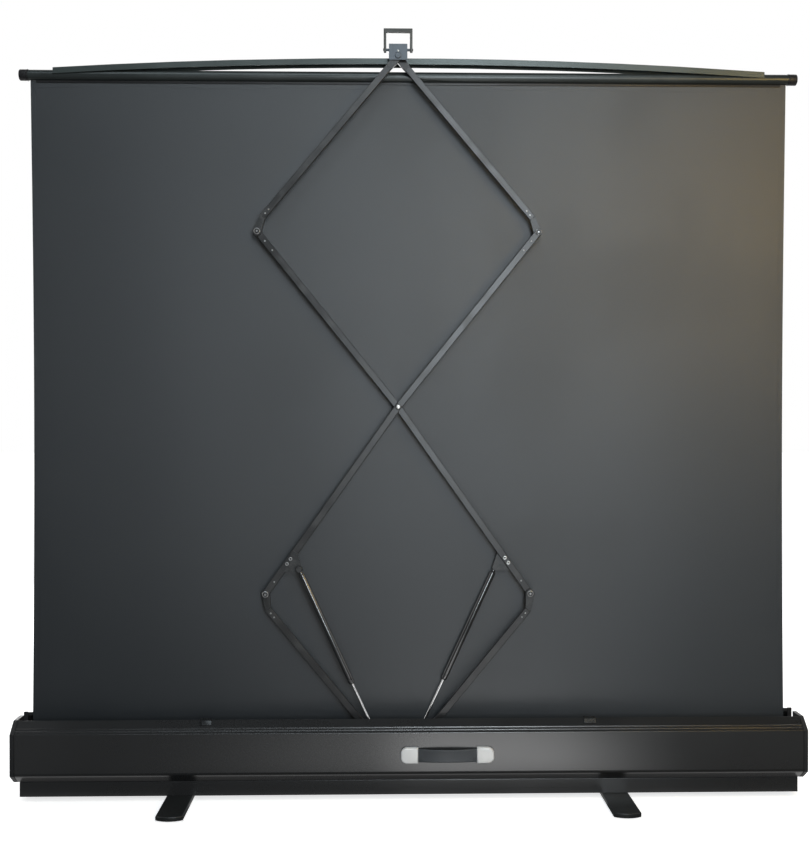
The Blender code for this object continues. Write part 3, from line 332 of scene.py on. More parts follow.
class FinishShop:
    """Builds the shared shader groups once and each finish's material on first use."""

    GRAIN_TONE = 0.45
    DRAWN_HEIGHT = (0.012, 1.0, 1.0)
    DRAWN_TONE = (0.02, 0.25, 0.25)
    SPANGLE_RANGE = (0.1, 0.9)
    SPANGLE_PITS = 2.0
    WAVES_PER_SCALE = math.tau / 20.0
    THREAD_STRAY = 0.6
    FOLD_STRETCH = (9.0, 1.0, 0.5)
    FOLD_SHARE = 0.7
    SLUB_STRETCH = (1.0, 1.0, 0.04)
    SLUB_SCALE = 0.3
    SMUDGE_RANGE = (0.42, 0.72)
    SMUDGE_SHARE = 0.55
    SCRATCH_STRETCH = (1.0, 1.0, 9.0)
    SCRATCH_SCALE = 11.0
    SCRATCH_RANGE = (0.64, 0.72)
    TONE_RANGE = (0.1, 0.8)

    def __init__(self) -> None:
        """Make the groups that the finishes share."""
        self.made: dict[str, bpy.types.Material] = {}
        self.groups = {surface: self._surface_group(surface) for surface in Surface}
        self.wear = self._wear_group()

    def _open_group(self, name: str, outputs: Sequence[str]) -> tuple[Sketch, Any, Any]:
        """Empty group with a vector and a scale.

        Args:
            name: Name of the group.
            outputs: Names of its float outputs.

        Returns:
            A sketch on the group, its input node and its output node.
        """
        tree = bpy.data.node_groups.new(name, "ShaderNodeTree")
        tree.interface.new_socket(name="Vector", in_out="INPUT", socket_type="NodeSocketVector")
        tree.interface.new_socket(name="Scale", in_out="INPUT", socket_type="NodeSocketFloat")
        for output in outputs:
            tree.interface.new_socket(name=output, in_out="OUTPUT", socket_type="NodeSocketFloat")
        sketch = Sketch(tree)
        return sketch, sketch.add("NodeGroupInput"), sketch.add("NodeGroupOutput")

    def _surface_group(self, surface: Surface) -> bpy.types.NodeTree:
        """Make the group of one fine structure.

        Args:
            surface: The fine structure.

        Returns:
            Its group, with Height for bump and Tone for colour and gloss.
        """
        sketch, given, result = self._open_group(surface.value, ("Height", "Tone"))
        vector, scale = given.outputs["Vector"], given.outputs["Scale"]
        if surface is Surface.GRAIN:
            cells = sketch.add("ShaderNodeTexVoronoi", {"Vector": vector, "Scale": scale})
            height = sketch.math("ADD", cells.outputs["Distance"], sketch.noise(vector, scale))
            tone = sketch.noise(vector, sketch.math("MULTIPLY", scale, self.GRAIN_TONE))
        elif surface is Surface.DRAWN:
            height = sketch.noise(sketch.stretched(vector, self.DRAWN_HEIGHT), scale, 2.0)
            tone = sketch.noise(sketch.stretched(vector, self.DRAWN_TONE), scale, 2.0)
        elif surface is Surface.SPANGLE:
            cells = sketch.add("ShaderNodeTexVoronoi", {"Vector": vector, "Scale": scale})
            tone = sketch.span(cells.outputs["Color"], *self.SPANGLE_RANGE)
            height = sketch.noise(vector, sketch.math("MULTIPLY", scale, self.SPANGLE_PITS))
        else:
            height, tone = self._weave(sketch, vector, scale)
        sketch.link(height, result.inputs["Height"])
        sketch.link(tone, result.inputs["Tone"])
        return sketch.tree

    def _weave(self, sketch: Sketch, vector: Socket, threads: Socket) -> tuple[Socket, Socket]:
        """Plain weave of so many threads per metre, with long soft bands down the cloth whose tone is
        painted shade of soft folds.

        Args:
            sketch: Sketch on the group.
            vector: Object coordinates.
            threads: Threads per metre.

        Returns:
            Height and tone sockets.
        """
        pitch = sketch.math("MULTIPLY", threads, self.WAVES_PER_SCALE)
        bands = []
        for direction in ("X", "Z"):
            keys = {"Vector": vector, "Scale": pitch, "Distortion": self.THREAD_STRAY, "Detail": 1.0}
            wave = sketch.add("ShaderNodeTexWave", keys, bands_direction=direction)
            bands.append(wave.outputs[1])
        height = sketch.math("MULTIPLY", bands[0], bands[1])
        # Painted shade: long bands of lighter and darker tone down the cloth, standing for its soft folds.
        fold_shade = sketch.noise(sketch.stretched(vector, self.FOLD_STRETCH), 1.0, 2.0)
        coarse = sketch.math("MULTIPLY", threads, self.SLUB_SCALE)
        slubs = sketch.noise(sketch.stretched(vector, self.SLUB_STRETCH), coarse)
        fold_shade_tone = sketch.math("MULTIPLY", fold_shade, self.FOLD_SHARE)
        return height, sketch.math("MULTIPLY_ADD", slubs, 1.0 - self.FOLD_SHARE, fold_shade_tone)

    def _wear_group(self) -> bpy.types.NodeTree:
        """Make the group of handling marks.

        Returns:
            The group, with masks of soft smudges and fine scratches.
        """
        sketch, given, result = self._open_group("handling_marks", ("Smudge", "Scratch"))
        vector, scale = given.outputs["Vector"], given.outputs["Scale"]
        smudge = sketch.span(sketch.noise(vector, scale, 5.0), *self.SMUDGE_RANGE)
        across = sketch.stretched(vector, self.SCRATCH_STRETCH)
        fine = sketch.math("MULTIPLY", scale, self.SCRATCH_SCALE)
        scratch = sketch.span(sketch.noise(across, fine, 4.0), *self.SCRATCH_RANGE)
        sketch.link(smudge, result.inputs["Smudge"])
        sketch.link(scratch, result.inputs["Scratch"])
        return sketch.tree

    def material(self, finish: Finish) -> bpy.types.Material:
        """Material of a finish, made on first use.

        Args:
            finish: The finish.

        Returns:
            Its node material.
        """
        if finish.name in self.made:
            return self.made[finish.name]
        made = bpy.data.materials.new(finish.name)
        made.use_nodes = True
        sketch = Sketch(made.node_tree)
        shader = made.node_tree.nodes["Principled BSDF"]
        shader.inputs["Metallic"].default_value = finish.metallic
        shader.inputs["Specular IOR Level"].default_value = finish.specular
        shader.inputs["Coat Weight"].default_value = finish.coat
        shader.inputs["Coat Roughness"].default_value = finish.coat_roughness

        place = sketch.add("ShaderNodeTexCoord").outputs["Object"]
        turn = (0.0, math.radians(finish.lean), 0.0)
        turned = sketch.add("ShaderNodeMapping", {"Vector": place, "Rotation": turn}).outputs[0]
        fine = sketch.add("ShaderNodeGroup", node_tree=self.groups[finish.surface])
        marks = sketch.add("ShaderNodeGroup", node_tree=self.wear)
        for node, scale in ((fine, finish.scale), (marks, finish.mark_scale)):
            sketch.link(turned, node.inputs["Vector"])
            node.inputs["Scale"].default_value = scale

        smudge = sketch.math("MULTIPLY", marks.outputs["Smudge"], self.SMUDGE_SHARE)
        toned = sketch.math("MULTIPLY_ADD", fine.outputs["Tone"], 1.0 - self.SMUDGE_SHARE, smudge)
        # On the cloth this tone also carries the painted fold shade, beside the handling marks.
        tone_wear_and_fold_shade = sketch.math("MAXIMUM", toned, marks.outputs["Scratch"])
        share = sketch.math("MULTIPLY", tone_wear_and_fold_shade, finish.mark_share)
        keys = {0: share, 6: (*finish.colour, 1.0), 7: (*finish.marks, 1.0)}
        blend = sketch.add("ShaderNodeMix", keys, data_type="RGBA")
        sketch.link(blend.outputs[2], shader.inputs["Base Color"])

        low, high = finish.roughness - finish.spread / 2, finish.roughness + finish.spread / 2
        sketch.link(sketch.span(toned, *self.TONE_RANGE, low, high), shader.inputs["Roughness"])
        keys = {"Height": fine.outputs["Height"], "Distance": finish.depth, "Strength": 1.0}
        sketch.link(sketch.add("ShaderNodeBump", keys).outputs[0], shader.inputs["Normal"])
        self.made[finish.name] = made
        return made


class PieceBench:
    """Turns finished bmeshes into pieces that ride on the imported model's bodies."""

    def __init__(self, shop: FinishShop) -> None:
        """Keep the shop that gives the materials."""
        self.shop = shop
        self.count = 0

    def lay(
        self,
        name: str,
        shape: Shape,
        finishes: Finish | Sequence[Finish],
        body: str,
        stands_for: Sequence[str] = (),
        crease: float = 32.0,
    ) -> bpy.types.Object:
        """Make a piece from a bmesh and ride it on a body.

        Args:
            name: Name of the piece.
            shape: Its bmesh, in place; it is freed.
            finishes: One finish, or one for each material number in the bmesh.
            body: Body that it moves with.
            stands_for: Nodes that it replaces.
            crease: Angle in degrees past which an edge stays sharp.

        Returns:
            The new object.
        """
        finishes = [finishes] if isinstance(finishes, Finish) else list(finishes)
        mesh = bpy.data.meshes.new(name)
        shape.to_mesh(mesh)
        shape.free()
        mesh.shade_smooth()
        mesh.set_sharp_from_angle(angle=math.radians(crease))
        for finish in finishes:
            mesh.materials.append(self.shop.material(finish))
        piece = bpy.data.objects.new(name, mesh)
        bpy.context.scene.collection.objects.link(piece)
        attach(piece, body)
        if stands_for:
            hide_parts(*stands_for)
        self.count += 1
        LOG.info("%s rides on %s, %d faces", name, body, len(mesh.polygons))
        return piece


def merged(parts: Iterable[Shape]) -> Shape:
    """One bmesh of several, which are freed.

    Args:
        parts: The bmeshes.

    Returns:
        A bmesh that holds them all.
    """
    whole = bmesh.new()
    for part in parts:
        store = bpy.data.meshes.new("part")
        part.to_mesh(store)
        part.free()
        whole.from_mesh(store)
        bpy.data.meshes.remove(store)
    return whole


def tidy(shape: Shape) -> Shape:
    """Merge a shape's doubles and point its faces outwards.

    Args:
        shape: The bmesh, changed in place.

    Returns:
        The same bmesh.
    """
    bmesh.ops.remove_doubles(shape, verts=shape.verts[:], dist=MERGE)
    bmesh.ops.recalc_face_normals(shape, faces=shape.faces[:])
    return shape


def mirrored(half: Profile) -> list[Pair]:
    """Profile that repeats one half, from its top inwards, on both sides of height 0."""
    return [(radius, -height) for radius, height in half] + list(reversed(half))


def spun(profile: Profile, place: Matrix, steps: int = 40) -> Shape:
    """Turn a half section about its axis.

    Args:
        profile: (radius, height) points; one that starts off the axis is closed into a ring.
        place: Matrix that puts the shape in its place.
        steps: Facets round the axis.

    Returns:
        The turned bmesh.
    """
    shape = bmesh.new()
    verts = [shape.verts.new((radius, 0.0, height)) for radius, height in profile]
    pairs = list(zip(verts, verts[1:]))
    if profile[0][0] > 0.0:
        pairs.append((verts[-1], verts[0]))
    edges = [shape.edges.new(pair) for pair in pairs]
    bmesh.ops.spin(
        shape,
        geom=verts + edges,
        cent=(0, 0, 0),
        axis=(0, 0, 1),
        angle=math.tau,
        steps=steps,
        use_merge=True,
    )
    tidy(shape)
    bmesh.ops.transform(shape, matrix=place, verts=shape.verts)
    return shape


def cube(low: Vector, high: Vector) -> Shape:
    """Plain box between two corners.

    Args:
        low: Lowest corner.
        high: Highest corner.

    Returns:
        The box.
    """
    shape = bmesh.new()
    bmesh.ops.create_cube(shape, size=1.0)
    bmesh.ops.scale(shape, vec=high - low, verts=shape.verts)
    bmesh.ops.translate(shape, vec=(low + high) / 2, verts=shape.verts)
    return shape


def rounded(shape: Shape, edges: Iterable[bmesh.types.BMEdge], radius: float, segments: int = 3) -> Shape:
    """Round some edges of a shape.

    Args:
        shape: The bmesh, changed in place.
        edges: Its edges to round.
        radius: Radius of an edge.
        segments: Facets of an edge.

    Returns:
        The same bmesh.
    """
    bmesh.ops.bevel(
        shape, geom=list(edges), offset=radius, segments=segments, profile=0.5, affect="EDGES", material=-1
    )
    return shape


def block(low: Vector, high: Vector, edge: float, segments: int = 3) -> Shape:
    """Box between two corners, with edges of one radius rounded in so many facets."""
    shape = cube(low, high)
    return tidy(rounded(shape, shape.edges, edge, segments))


def cut(shape: Shape, axis: Vector, reaches: Iterable[float]) -> None:
    """Cut a shape's faces along planes that are square to an axis.

    Args:
        shape: The bmesh, changed in place.
        axis: Direction that the planes are square to.
        reaches: Where the planes stand along it.
    """
    for reach in reaches:
        everything = shape.verts[:] + shape.edges[:] + shape.faces[:]
        bmesh.ops.bisect_plane(shape, geom=everything, dist=MERGE, plane_co=axis * reach, plane_no=axis)


class Head(Enum):
    """Rivet or screw head; the value is its half section, in shares of its radius and height."""

    DOME = ((0.0, 1.0), (0.45, 0.96), (0.75, 0.78), (0.94, 0.45), (1.0, 0.15), (1.0, 0.0), (0.0, 0.0))
    RING = (
        (0.0, 0.35), (0.38, 0.35), (0.52, 0.85), (0.68, 1.0), (0.88, 0.75), (1.0, 0.2), (1.0, 0.0),
        (0.0, 0.0),
    )

    def stand(self, place: Vector, toward: Vector, radius: float, height: float) -> Shape:
        """Make a head; the dished middle of a ring has material number 1.

        Args:
            place: Middle of its seat.
            toward: Direction that it stands in.
            radius: Radius of the head.
            height: Height of the head.

        Returns:
            The head.
        """
        profile = [(radius * out, height * up) for out, up in self.value]
        turn = toward.to_track_quat("Z", "Y").to_matrix().to_4x4()
        steps = RING_STEPS if self is Head.RING else DOME_STEPS
        shape = spun(profile, Matrix.Translation(place) @ turn, steps)
        for face in shape.faces:
            dished = (face.calc_center_median() - place).length < radius * DISH_SHARE
            face.material_index = int(dished and self is Head.RING)
        return shape


@dataclass(frozen=True)
class Lamp:
    """Soft rectangular lamp that looks at a point."""

    name: str
    place: Point
    target: Point
    size: Pair
    watts: float
    colour: Colour = (1.0, 1.0, 1.0)

    def hang(self) -> None:
        """Add the lamp to the scene."""
        light = bpy.data.lights.new(self.name, "AREA")
        light.shape = "RECTANGLE"
        light.size, light.size_y = self.size
        light.energy = self.watts
        light.color = self.colour
        lamp = bpy.data.objects.new(self.name, light)
        lamp.location = self.place
        aim = Vector(self.target) - Vector(self.place)
        lamp.rotation_euler = aim.to_track_quat("-Z", "Y").to_euler()
        bpy.context.scene.collection.objects.link(lamp)


@dataclass(frozen=True)
class Flag:
    """Dark sheet that keeps light off one side; tilt turns it about X, in degrees."""

    name: str
    place: Point
    tilt: float
    size: Pair

    def matrix(self) -> Matrix:
        """Place and tilt of the sheet."""
        return Matrix.Translation(self.place) @ Matrix.Rotation(math.radians(self.tilt), 4, "X")


@dataclass
class Stage:
    """Camera of the photograph, pale floor, white surround and soft lamps.

    The floor glows in gloss alone; each glow range is a place where it starts and one where it is full,
    followed by its two levels where they aren't 0 and 1.
    """

    eye: Point = (-0.0749, -2.7005, 0.8595)
    yaw: float = 1.2929
    pitch: float = -0.556
    focal_pixels: float = 1171.9
    frame_height: float = 867.0
    sensor: float = 36.0
    floor_size: float = 60.0
    floor_greys: Pair = (0.10, 0.88)
    matt: float = 0.9
    ambient: float = 0.44
    lift: float = 0.68
    glow_broad: tuple[float, ...] = (-0.95, 0.20, 0.0, 0.42)
    glow_left: Pair = (-0.25, 0.15)
    glow_right: Pair = (0.24, 0.78)
    glow_from: Pair = (0.22, 0.33)
    glow_to: Pair = (0.66, 0.86)
    glow_far: tuple[float, ...] = (1.0, 1.5, 0.0, 1.4)
    glow: Pair = (0.03, 2.1)
    under_case: Pair = (-0.088, -0.070)
    under_glow: float = 0.42
    flag_grey: float = 0.03
    flags: tuple[Flag, ...] = (
        Flag("flag_behind_camera", (0.0, -4.7, 3.0), 90.0, (16.0, 6.0)),
        Flag("flag_overhead", (0.0, -1.6, 5.0), 0.0, (9.0, 6.0)),
    )
    lamps: tuple[Lamp, ...] = (
        Lamp(
            "panel_behind_camera", (0.48, -3.7, 1.68), (0.25, 0.0, 0.95), (0.7, 2.5), 73.0,
            (0.86, 0.94, 1.0),
        ),
        Lamp("overhead", (-0.2, -2.1, 3.6), (0.0, 0.0, 0.5), (2.6, 1.2), 36.0, (0.84, 0.94, 1.0)),
        Lamp("warm_right", (1.32, -1.5, 1.62), (0.88, 0.0, 1.28), (0.25, 0.8), 7.8, (1.0, 0.66, 0.18)),
        Lamp("audience_side", (-0.6, 3.4, 1.9), (0.0, 0.0, 0.9), (2.4, 1.6), 95.0),
    )

    def build(self) -> None:
        """Set up the view, surround, floor and lamps."""
        bpy.context.scene.view_settings.view_transform = "Standard"
        self._camera()
        self._surround()
        self._floor()
        for flag in self.flags:
            self._hang_flag(flag)
        for lamp in self.lamps:
            lamp.hang()
        LOG.info("stage with %d lamps", len(self.lamps))

    def _camera(self) -> None:
        """Place the camera where the photograph was taken from."""
        lens = bpy.data.cameras.new("camera")
        lens.sensor_width = self.sensor
        lens.lens = self.focal_pixels * self.sensor / self.frame_height
        camera = bpy.data.objects.new("camera", lens)
        camera.location = self.eye
        camera.rotation_euler = (math.radians(90.0 + self.pitch), 0.0, math.radians(-self.yaw))
        bpy.context.scene.collection.objects.link(camera)
        bpy.context.scene.camera = camera

    def _surround(self) -> None:
        """White world that shows white in camera, gloss and glass and lights at the ambient level."""
        world = bpy.data.worlds.new("surround")
        world.use_nodes = True
        bpy.context.scene.world = world
        sketch = Sketch(world.node_tree)
        background = world.node_tree.nodes["Background"]
        background.inputs["Color"].default_value = (1.0, 1.0, 1.0, 1.0)
        path = sketch.add("ShaderNodeLightPath").outputs
        shiny = sketch.math("MAXIMUM", path["Is Glossy Ray"], path["Is Transmission Ray"])
        seen = sketch.math("MAXIMUM", path["Is Camera Ray"], shiny)
        level = sketch.math("MULTIPLY_ADD", seen, 1.0 - self.ambient, self.ambient)
        sketch.link(level, background.inputs["Strength"])

    def _sheet_of(self, name: str, size: Pair, place: Matrix) -> bpy.types.Object:
        """Flat stage piece.

        Args:
            name: Name of the piece.
            size: Its two sides.
            place: Matrix that puts it in its place.

        Returns:
            The piece, with a new material on it.
        """
        shape = bmesh.new()
        bmesh.ops.create_grid(shape, x_segments=1, y_segments=1, size=0.5)
        bmesh.ops.scale(shape, vec=(*size, 1.0), verts=shape.verts)
        bmesh.ops.transform(shape, matrix=place, verts=shape.verts)
        mesh = bpy.data.meshes.new(name)
        shape.to_mesh(mesh)
        shape.free()
        paint = bpy.data.materials.new(name)
        paint.use_nodes = True
        paint.node_tree.nodes["Principled BSDF"].inputs["Roughness"].default_value = self.matt
        mesh.materials.append(paint)
        piece = bpy.data.objects.new(name, mesh)
        bpy.context.scene.collection.objects.link(piece)
        return piece

    def _floor(self) -> None:
        """Pale floor that keeps the shadow, runs white into the surround and glows in gloss."""
        floor = self._sheet_of("floor", (self.floor_size, self.floor_size), Matrix.Identity(4))
        tree = floor.data.materials[0].node_tree
        sketch = Sketch(tree)
        shader = tree.nodes["Principled BSDF"]
        shader.inputs["Emission Color"].default_value = (1.0, 1.0, 1.0, 1.0)
        path = sketch.add("ShaderNodeLightPath").outputs
        plain = sketch.math("MAXIMUM", path["Is Camera Ray"], path["Is Transmission Ray"])
        sketch.link(sketch.span(plain, 0.0, 1.0, *self.floor_greys), shader.inputs["Base Color"])

        # Glossy rays alone see the floor glow in bands in front of the case and under its rear edge:
        # painted reflections in the case's paint and the other glossy parts.
        place = sketch.add("ShaderNodeTexCoord").outputs["Object"]
        across, away, _ = sketch.add("ShaderNodeSeparateXYZ", {0: place}).outputs
        broad = sketch.span(across, *self.glow_broad)
        left = sketch.math("MAXIMUM", broad, sketch.span(across, *self.glow_left))
        share = sketch.math("MULTIPLY", left, sketch.span(across, *self.glow_right, 1.0, 0.0))
        out = sketch.math("MULTIPLY", away, -1.0)
        fading = sketch.span(out, *self.glow_to, 1.0, 0.0)
        band = sketch.math("MULTIPLY", sketch.span(out, *self.glow_from), fading)
        band = sketch.math("MAXIMUM", band, sketch.span(out, *self.glow_far))
        front = sketch.math("MULTIPLY", band, sketch.span(share, 0.0, 1.0, *self.glow))
        lit = sketch.math("MAXIMUM", front, sketch.span(away, *self.under_case, 0.0, self.under_glow))
        shiny = sketch.math("MULTIPLY", path["Is Glossy Ray"], lit)
        lift = sketch.math("MULTIPLY_ADD", plain, self.lift, shiny)
        sketch.link(lift, shader.inputs["Emission Strength"])

    def _hang_flag(self, flag: Flag) -> None:
        """Hang a dark flag, hidden from the camera, so that gloss keeps its contrast.

        Args:
            flag: The flag.
        """
        piece = self._sheet_of(flag.name, flag.size, flag.matrix())
        piece.visible_camera = False
        shader = piece.data.materials[0].node_tree.nodes["Principled BSDF"]
        shader.inputs["Base Color"].default_value = (self.flag_grey, self.flag_grey, self.flag_grey, 1.0)


@dataclass
class Plan:
    """Pivots of the scissor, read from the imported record's joints."""

    joints: dict[str, Vector]

    @classmethod
    def read(cls, frame: dict[str, Any]) -> Plan:
        """Take the hinge places out of the loaded frame."""
        return cls({j["name"]: Vector(j["pos_m"]) for j in frame["joints"] if "pos_m" in j})

    @property
    def base(self) -> Vector:
        """Pivot of both lower arms in the case."""
        return self.joints["fold"]

    @property
    def top(self) -> Vector:
        """Pivot of both upper arms in the top block."""
        return self.joints["crossbar_level"]

    def lower(self, side: Side) -> Vector:
        """Lower elbow of a side."""
        return self.joints[f"long_{side}_fold"]

    def upper(self, side: Side) -> Vector:
        """Upper elbow of a side."""
        return self.joints[f"upper_{side}_fold"]

    @property
    def centre(self) -> Vector:
        """Crossing of the long arms."""
        rise = self.lower(Side.LEFT).z - self.base.z
        return self.base + Vector((0.0, 0.0, 2 * rise))


@dataclass
class Assembly:
    """Pieces that are made together on a bench, after the plan of the pivots."""

    bench: PieceBench
    plan: Plan

    def build(self) -> None:
        """Make the pieces."""
        raise NotImplementedError


@dataclass
class ScreenCloth(Assembly):
    """Stretched sheet with a dark coated back and a white, black-edged front, and its roll."""

    image_half: float = 0.813
    image_low: float = 0.245
    image_high: float = 1.464
    waist: float = 0.006
    ripple: float = 0.0004
    ripple_length: float = 0.37
    ripple_lean: float = 1.7
    columns: int = 70
    rows: int = 60
    sheet_thick: float = 0.0006
    hem_width: float = 0.011
    hem_offset: float = 0.0004
    hem_thick: float = 0.00032
    hem_columns: int = 2
    weld_height: float = 0.016
    weld_columns: int = 60
    folded_share: float = 0.0286
    roll_thick: float = 0.0003
    roll_turns: float = 2.5
    roll_points: int = 48
    flat: Pair = (1.75, 1.56)
    low: Vector = field(init=False)
    high: Vector = field(init=False)

    def __post_init__(self) -> None:
        """Read the corners of the cloth's solid."""
        self.low, self.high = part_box("screen_cloth")

    def build(self) -> None:
        """Make the sheet, its hems and weld, and the layers left on the roller."""
        low, high = self.low, self.high
        sheet = self._sheet()
        hems = [self._hem(side) for side in Side]
        inside = (low.x + self.hem_width, high.x - self.hem_width)
        weld = self._strip(inside, (high.z - self.weld_height, high.z), self.weld_columns, 1)
        hems.append(self.bench.lay("top_weld", weld, CLOTH_BACK, "housing"))
        roll = self._roll()
        for piece in [sheet, *hems]:
            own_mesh(piece)

    def _cloth(self, across: Pair, upright: Pair, columns: int, rows: int, y: float) -> Shape:
        """Flat cloth facing -Y.

        Args:
            across: Range in X.
            upright: Range in Z.
            columns: Faces across.
            rows: Faces up.
            y: Its plane.

        Returns:
            The grid's bmesh.
        """
        shape = bmesh.new()
        bmesh.ops.create_grid(shape, x_segments=columns, y_segments=rows, size=0.5)
        size = Vector((across[1] - across[0], upright[1] - upright[0], 1.0))
        bmesh.ops.scale(shape, vec=size, verts=shape.verts)
        middle = Vector((sum(across) / 2, y, sum(upright) / 2))
        stand = Matrix.Rotation(math.radians(90.0), 4, "X")
        bmesh.ops.transform(shape, matrix=Matrix.Translation(middle) @ stand, verts=shape.verts)
        return shape

    def _stretch(self, shape: Shape, thick: float) -> None:
        """Draw the sides in between roller and tube, lay soft ripples and give the cloth its thickness.

        Args:
            shape: Flat cloth, in place.
            thick: Thickness that it gets.
        """
        for vert in shape.verts:
            share = (vert.co.z - self.low.z) / (self.high.z - self.low.z)
            swell = math.sin(math.pi * min(1.0, max(0.0, share)))
            vert.co.x *= 1.0 - self.waist * swell / self.high.x
            wave = math.sin(math.tau * vert.co.x / self.ripple_length + self.ripple_lean * vert.co.z)
            vert.co.y += self.ripple * swell * wave
        bmesh.ops.solidify(shape, geom=shape.faces[:], thickness=thick)
        bmesh.ops.recalc_face_normals(shape, faces=shape.faces[:])

    def _sheet(self) -> bpy.types.Object:
        """Make the closed thin sheet, whose front is white inside a black edge.

        Returns:
            The sheet.
        """
        low, high = self.low, self.high
        shape = self._cloth((low.x, high.x), (low.z, high.z), self.columns, self.rows, low.y)
        cut(shape, ACROSS, (-self.image_half, self.image_half))
        cut(shape, UP, (self.image_low, self.image_high))
        self._stretch(shape, self.sheet_thick)
        for face in shape.faces:
            middle = face.calc_center_median()
            inside = abs(middle.x) < self.image_half - self.waist
            on_image = inside and self.image_low < middle.z < self.image_high
            front = 1 if on_image and face.normal.y > FACING else 2
            face.material_index = 0 if face.normal.y < -FACING else front
        finishes = (CLOTH_BACK, CLOTH_WHITE, CLOTH_BLACK)
        return self.bench.lay("screen_sheet", shape, finishes, "housing", ["screen_cloth"])

    def _strip(self, across: Pair, upright: Pair, columns: int, rows: int) -> Shape:
        """Strip of cloth on the back of the sheet.

        Args:
            across: Range in X.
            upright: Range in Z.
            columns: Faces across.
            rows: Faces up.

        Returns:
            The strip's bmesh.
        """
        shape = self._cloth(across, upright, columns, rows, self.low.y - self.hem_offset)
        self._stretch(shape, self.hem_thick)
        return shape

    def _hem(self, side: Side) -> bpy.types.Object:
        """Turned hem down one side.

        Args:
            side: The side.

        Returns:
            The hem.
        """
        across = sorted((side.value * self.high.x, side.value * (self.high.x - self.hem_width)))
        shape = self._strip(across, (self.low.z, self.high.z), self.hem_columns, self.rows)
        return self.bench.lay(f"side_hem_{side}", shape, CLOTH_BACK, "housing")

    def _roll(self) -> bpy.types.Object:
        """Make the spiral of the cloth's last turns on the roller.

        Returns:
            The roll.
        """
        low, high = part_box("wound_cloth")
        axis = (low + high) / 2
        outer = (high.z - low.z) / 2
        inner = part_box("roller_tube")[1].z - axis.z + self.sheet_thick
        steps = int(self.roll_turns * self.roll_points)
        turn = Matrix.Rotation(math.tau / self.roll_points, 3, "X")
        grow = ((outer - self.sheet_thick) / inner) ** (1.0 / steps)
        shape = bmesh.new()
        line = bmesh.ops.create_vert(shape, co=(low.x, -inner, 0.0))["vert"]
        for _ in range(steps):
            line = bmesh.ops.extrude_vert_indiv(shape, verts=line)["verts"]
            bmesh.ops.rotate(shape, cent=(0, 0, 0), matrix=turn, verts=line)
            bmesh.ops.scale(shape, vec=(1.0, grow, grow), verts=line)
        grown = bmesh.ops.extrude_edge_only(shape, edges=shape.edges[:])["geom"]
        far = [item for item in grown if isinstance(item, bmesh.types.BMVert)]
        bmesh.ops.translate(shape, vec=(high.x - low.x, 0.0, 0.0), verts=far)
        bmesh.ops.recalc_face_normals(shape, faces=shape.faces[:])
        bmesh.ops.solidify(shape, geom=shape.faces[:], thickness=self.roll_thick)
        bmesh.ops.translate(shape, vec=(0.0, axis.y, axis.z), verts=shape.verts)
        bmesh.ops.recalc_face_normals(shape, faces=shape.faces[:])
        return self.bench.lay("wound_roll", shape, CLOTH_BLACK, "roller", ["wound_cloth"])


@dataclass(frozen=True)
class PinHead:
    """Near head of a pivot rivet: (radius, drop) points outwards, and its bright ranges of radius."""

    points: Profile
    bright: Sequence[Pair]
    finish: Finish


RINGED_HEAD = PinHead(
    (
        (0.0, 0.0007), (0.0017, 0.0007), (0.0023, 0.0), (0.0040, 0.0), (0.0046, 0.0005), (0.0053, 0.0005),
        (0.0059, 0.0), (0.0067, 0.0003), (0.0075, 0.0011),
    ),
    ((0.0, 0.0020), (0.0054, 0.0073)),
    RIVET_GREY,
)
BUTTON_HEAD = PinHead(
    ((0.0, 0.0), (0.0030, 0.0), (0.0042, 0.0004), (0.0047, 0.0012), (0.0066, 0.0013), (0.0075, 0.0016)),
    ((0.0, 0.0046),),
    RIVET_BRIGHT,
)


